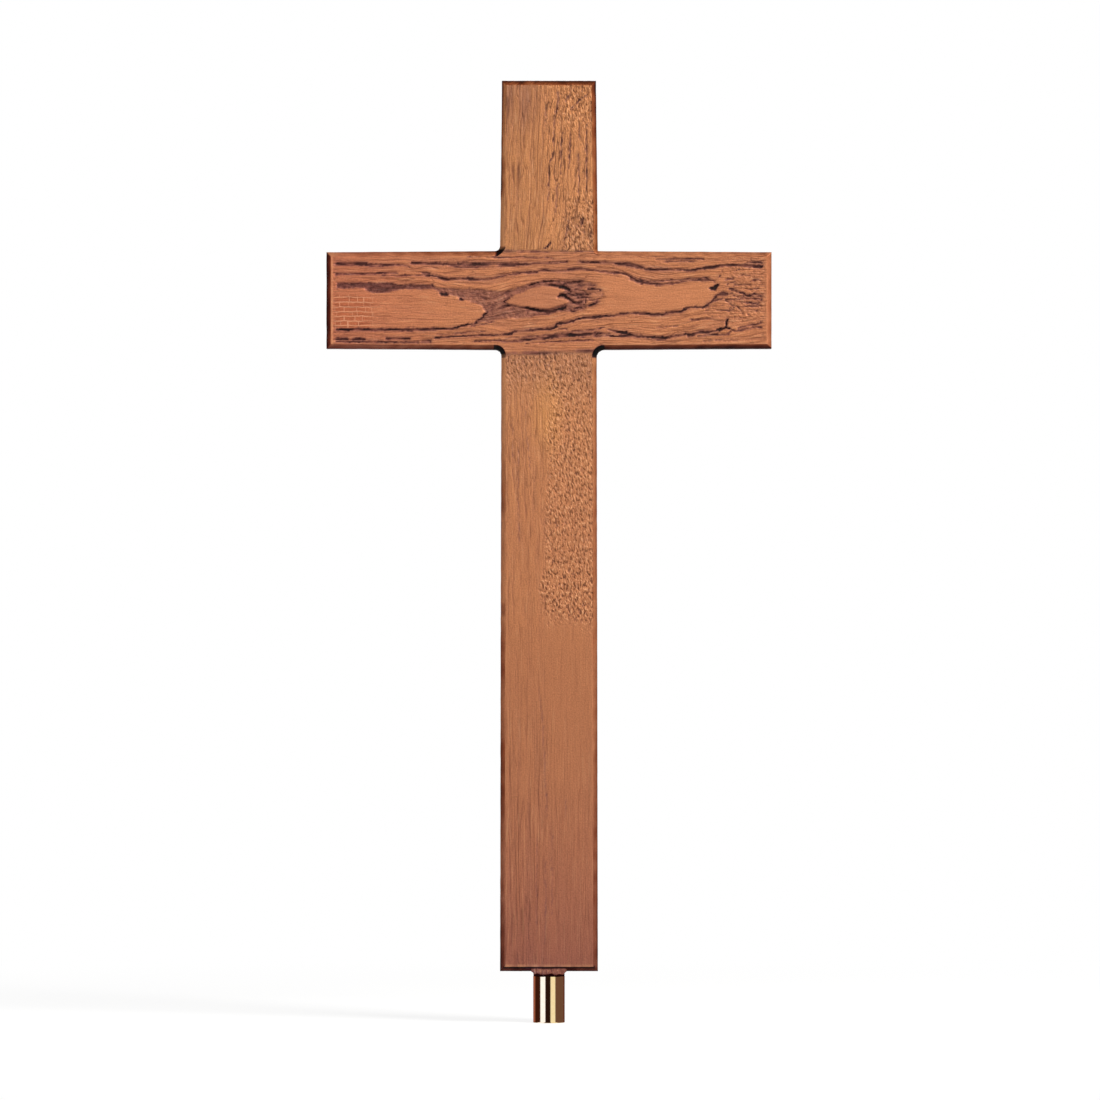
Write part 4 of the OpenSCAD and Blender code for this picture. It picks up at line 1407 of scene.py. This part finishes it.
def paper():
    """White paper that keeps some of the shadow that falls on it near the object."""
    material, tree = bare_material("white_paper")
    paint = put(tree, "ShaderNodeBsdfDiffuse", {"Color": grey(PAPER_PAINT)})
    lit = put(tree, "ShaderNodeBsdfDiffuse", {"Color": grey(SHADOW_SHARE)})
    glow = put(tree, "ShaderNodeEmission", {"Color": WHITE, "Strength": PAPER_GLOW})
    close = put(tree, "ShaderNodeAddShader", {0: lit.outputs[0], 1: glow.outputs[0]})
    far = put(tree, "ShaderNodeEmission", {"Color": WHITE, "Strength": 1.0})
    place, _ = object_place(tree)
    shown = put(tree, "ShaderNodeMixShader", {
        0: length_of(tree, place).remap(*SHADOW_FADE), 1: close.outputs[0],
        2: far.outputs[0]})
    ray = put(tree, "ShaderNodeLightPath").outputs
    seen = calc(tree, "MAXIMUM", ray["Is Glossy Ray"], ray["Is Transmission Ray"])
    blend = put(tree, "ShaderNodeMixShader", {
        0: seen.most(ray["Is Camera Ray"]), 1: paint.outputs[0], 2: shown.outputs[0]})
    put(tree, "ShaderNodeOutputMaterial", {"Surface": blend.outputs[0]})
    return material


def white_room():
    """Plain light from all round, with white behind the object."""
    world = bpy.data.worlds.new("studio")
    bpy.context.scene.world = world
    world.use_nodes = True
    tree = world.node_tree
    tree.nodes.clear()
    ambient = put(tree, "ShaderNodeBackground", {"Color": WHITE, "Strength": AMBIENT})
    white = put(tree, "ShaderNodeBackground", {"Color": WHITE, "Strength": 1.0})
    blend = put(tree, "ShaderNodeMixShader", {
        0: put(tree, "ShaderNodeLightPath").outputs["Is Camera Ray"],
        1: ambient.outputs[0], 2: white.outputs[0]})
    put(tree, "ShaderNodeOutputWorld", {"Surface": blend.outputs[0]})


def softbox(name, azimuth, elevation, distance, wide, tall, power, colour=(1, 1, 1)):
    """A soft lamp aimed at the middle of the cross. Azimuth is from the camera's side,
    positive to its right."""
    light = bpy.data.lights.new(name, "AREA")
    light.shape, light.size, light.size_y = "RECTANGLE", wide, tall
    light.energy, light.color = power, colour
    lamp = show(bpy.data.objects.new(name, light))
    a, e = math.radians(azimuth), math.radians(elevation)
    aim = Vector((0, 0, (FOOT_Z + TOP_Z) / 2 * MM))
    away = Vector((math.sin(a) * math.cos(e), -math.cos(a) * math.cos(e), math.sin(e)))
    lamp.location = aim + away * distance
    lamp.rotation_euler = (-away).to_track_quat("-Z", "Y").to_euler()


def card_place(share):
    """Where the turned pin mirrors the round card, for a share of the pin's width: the
    turn round the card, 0 to 1, with the camera's side at the middle."""
    lean = math.asin(max(-1, min(1, share)))
    start = (PIN_RADIUS * math.sin(lean), -PIN_RADIUS * math.cos(lean))
    way = (math.sin(2 * lean), -math.cos(2 * lean))
    along = start[0] * way[0] + start[1] * way[1]
    reach = -along + math.sqrt(along ** 2 + CARD_RADIUS ** 2 - PIN_RADIUS ** 2)
    x, y = start[0] + reach * way[0], start[1] + reach * way[1]
    return math.atan2(x, -y) / math.tau + 0.5


def card_bands():
    """The cards' glow: a colour for each band, with a short blend between two."""
    material, tree = bare_material("card_bands")
    _, (x, y, _) = object_place(tree)
    place = calc(tree, "ARCTAN2", x, y * -1.0) * (1 / math.tau) + 0.5
    shades = [tuple(c / CARD_GLOW for c in colour) + (1.0,) for _, colour in PIN_CARDS]
    stops = [(0.0, shades[0])]
    for (start, _), last, shade in zip(PIN_CARDS[1:], shades[:-1], shades[1:]):
        stops += [(card_place(start - 0.02), last), (card_place(start + 0.02), shade)]
    stops.append((1.0, shades[-1]))
    glow = put(tree, "ShaderNodeEmission",
               {"Color": ramp(tree, place, stops), "Strength": CARD_GLOW})
    put(tree, "ShaderNodeOutputMaterial", {"Surface": glow.outputs[0]})
    return material


def pin_cards():
    """A round screen of light and dark card, with a floor round the pin's lower end. Only
    reflections show it: the pin's, and faintly the patina's just above the pin."""
    floor, top = 0.08, FOOT_Z - 0.4
    turn = np.linspace(0, math.tau, CARD_POINTS, endpoint=False)
    corners = [(math.sin(t) * reach * MM, -math.cos(t) * reach * MM, z * MM)
               for z, reach in ((floor, PIN_RADIUS + 0.1), (floor, CARD_RADIUS),
                                (top, CARD_RADIUS)) for t in turn]
    i = np.arange(CARD_POINTS)
    j = (i + 1) % CARD_POINTS
    faces = np.vstack([quads(row + i, row + j, row + CARD_POINTS + j, row + CARD_POINTS + i)
                       for row in (0, CARD_POINTS)])
    screen = stage_mesh("pin_cards", corners, faces.tolist(), card_bands())
    screen.visible_camera = screen.visible_diffuse = False
    screen.visible_shadow = screen.visible_transmission = False


def make_camera():
    """A long lens straight in front of the face."""
    data = bpy.data.cameras.new("camera")
    data.sensor_width = SENSOR
    data.lens = SENSOR * CAMERA_DISTANCE / CAMERA_WIDTH
    data.clip_end = 100.0
    camera = show(bpy.data.objects.new("camera", data))
    camera.location = (CAMERA_AIM[0], FRONT_Y * MM - CAMERA_DISTANCE, CAMERA_AIM[1])
    camera.rotation_euler = (math.radians(90), 0, 0)
    bpy.context.scene.camera = camera


stage_mesh("floor", [(x * FLOOR_REACH, y * FLOOR_REACH, 0)
                     for x, y in ((-1, -1), (1, -1), (1, 1), (-1, 1))],
           [(0, 1, 2, 3)], paper())
pin_cards()
white_room()
softbox("key", 50, 36, 2.2, 0.8, 1.0, 59, (1.0, 0.985, 0.96))
softbox("fill", -60, 8, 2.4, 1.0, 1.6, 16)
make_camera()
bpy.context.scene.view_settings.view_transform = "Standard"
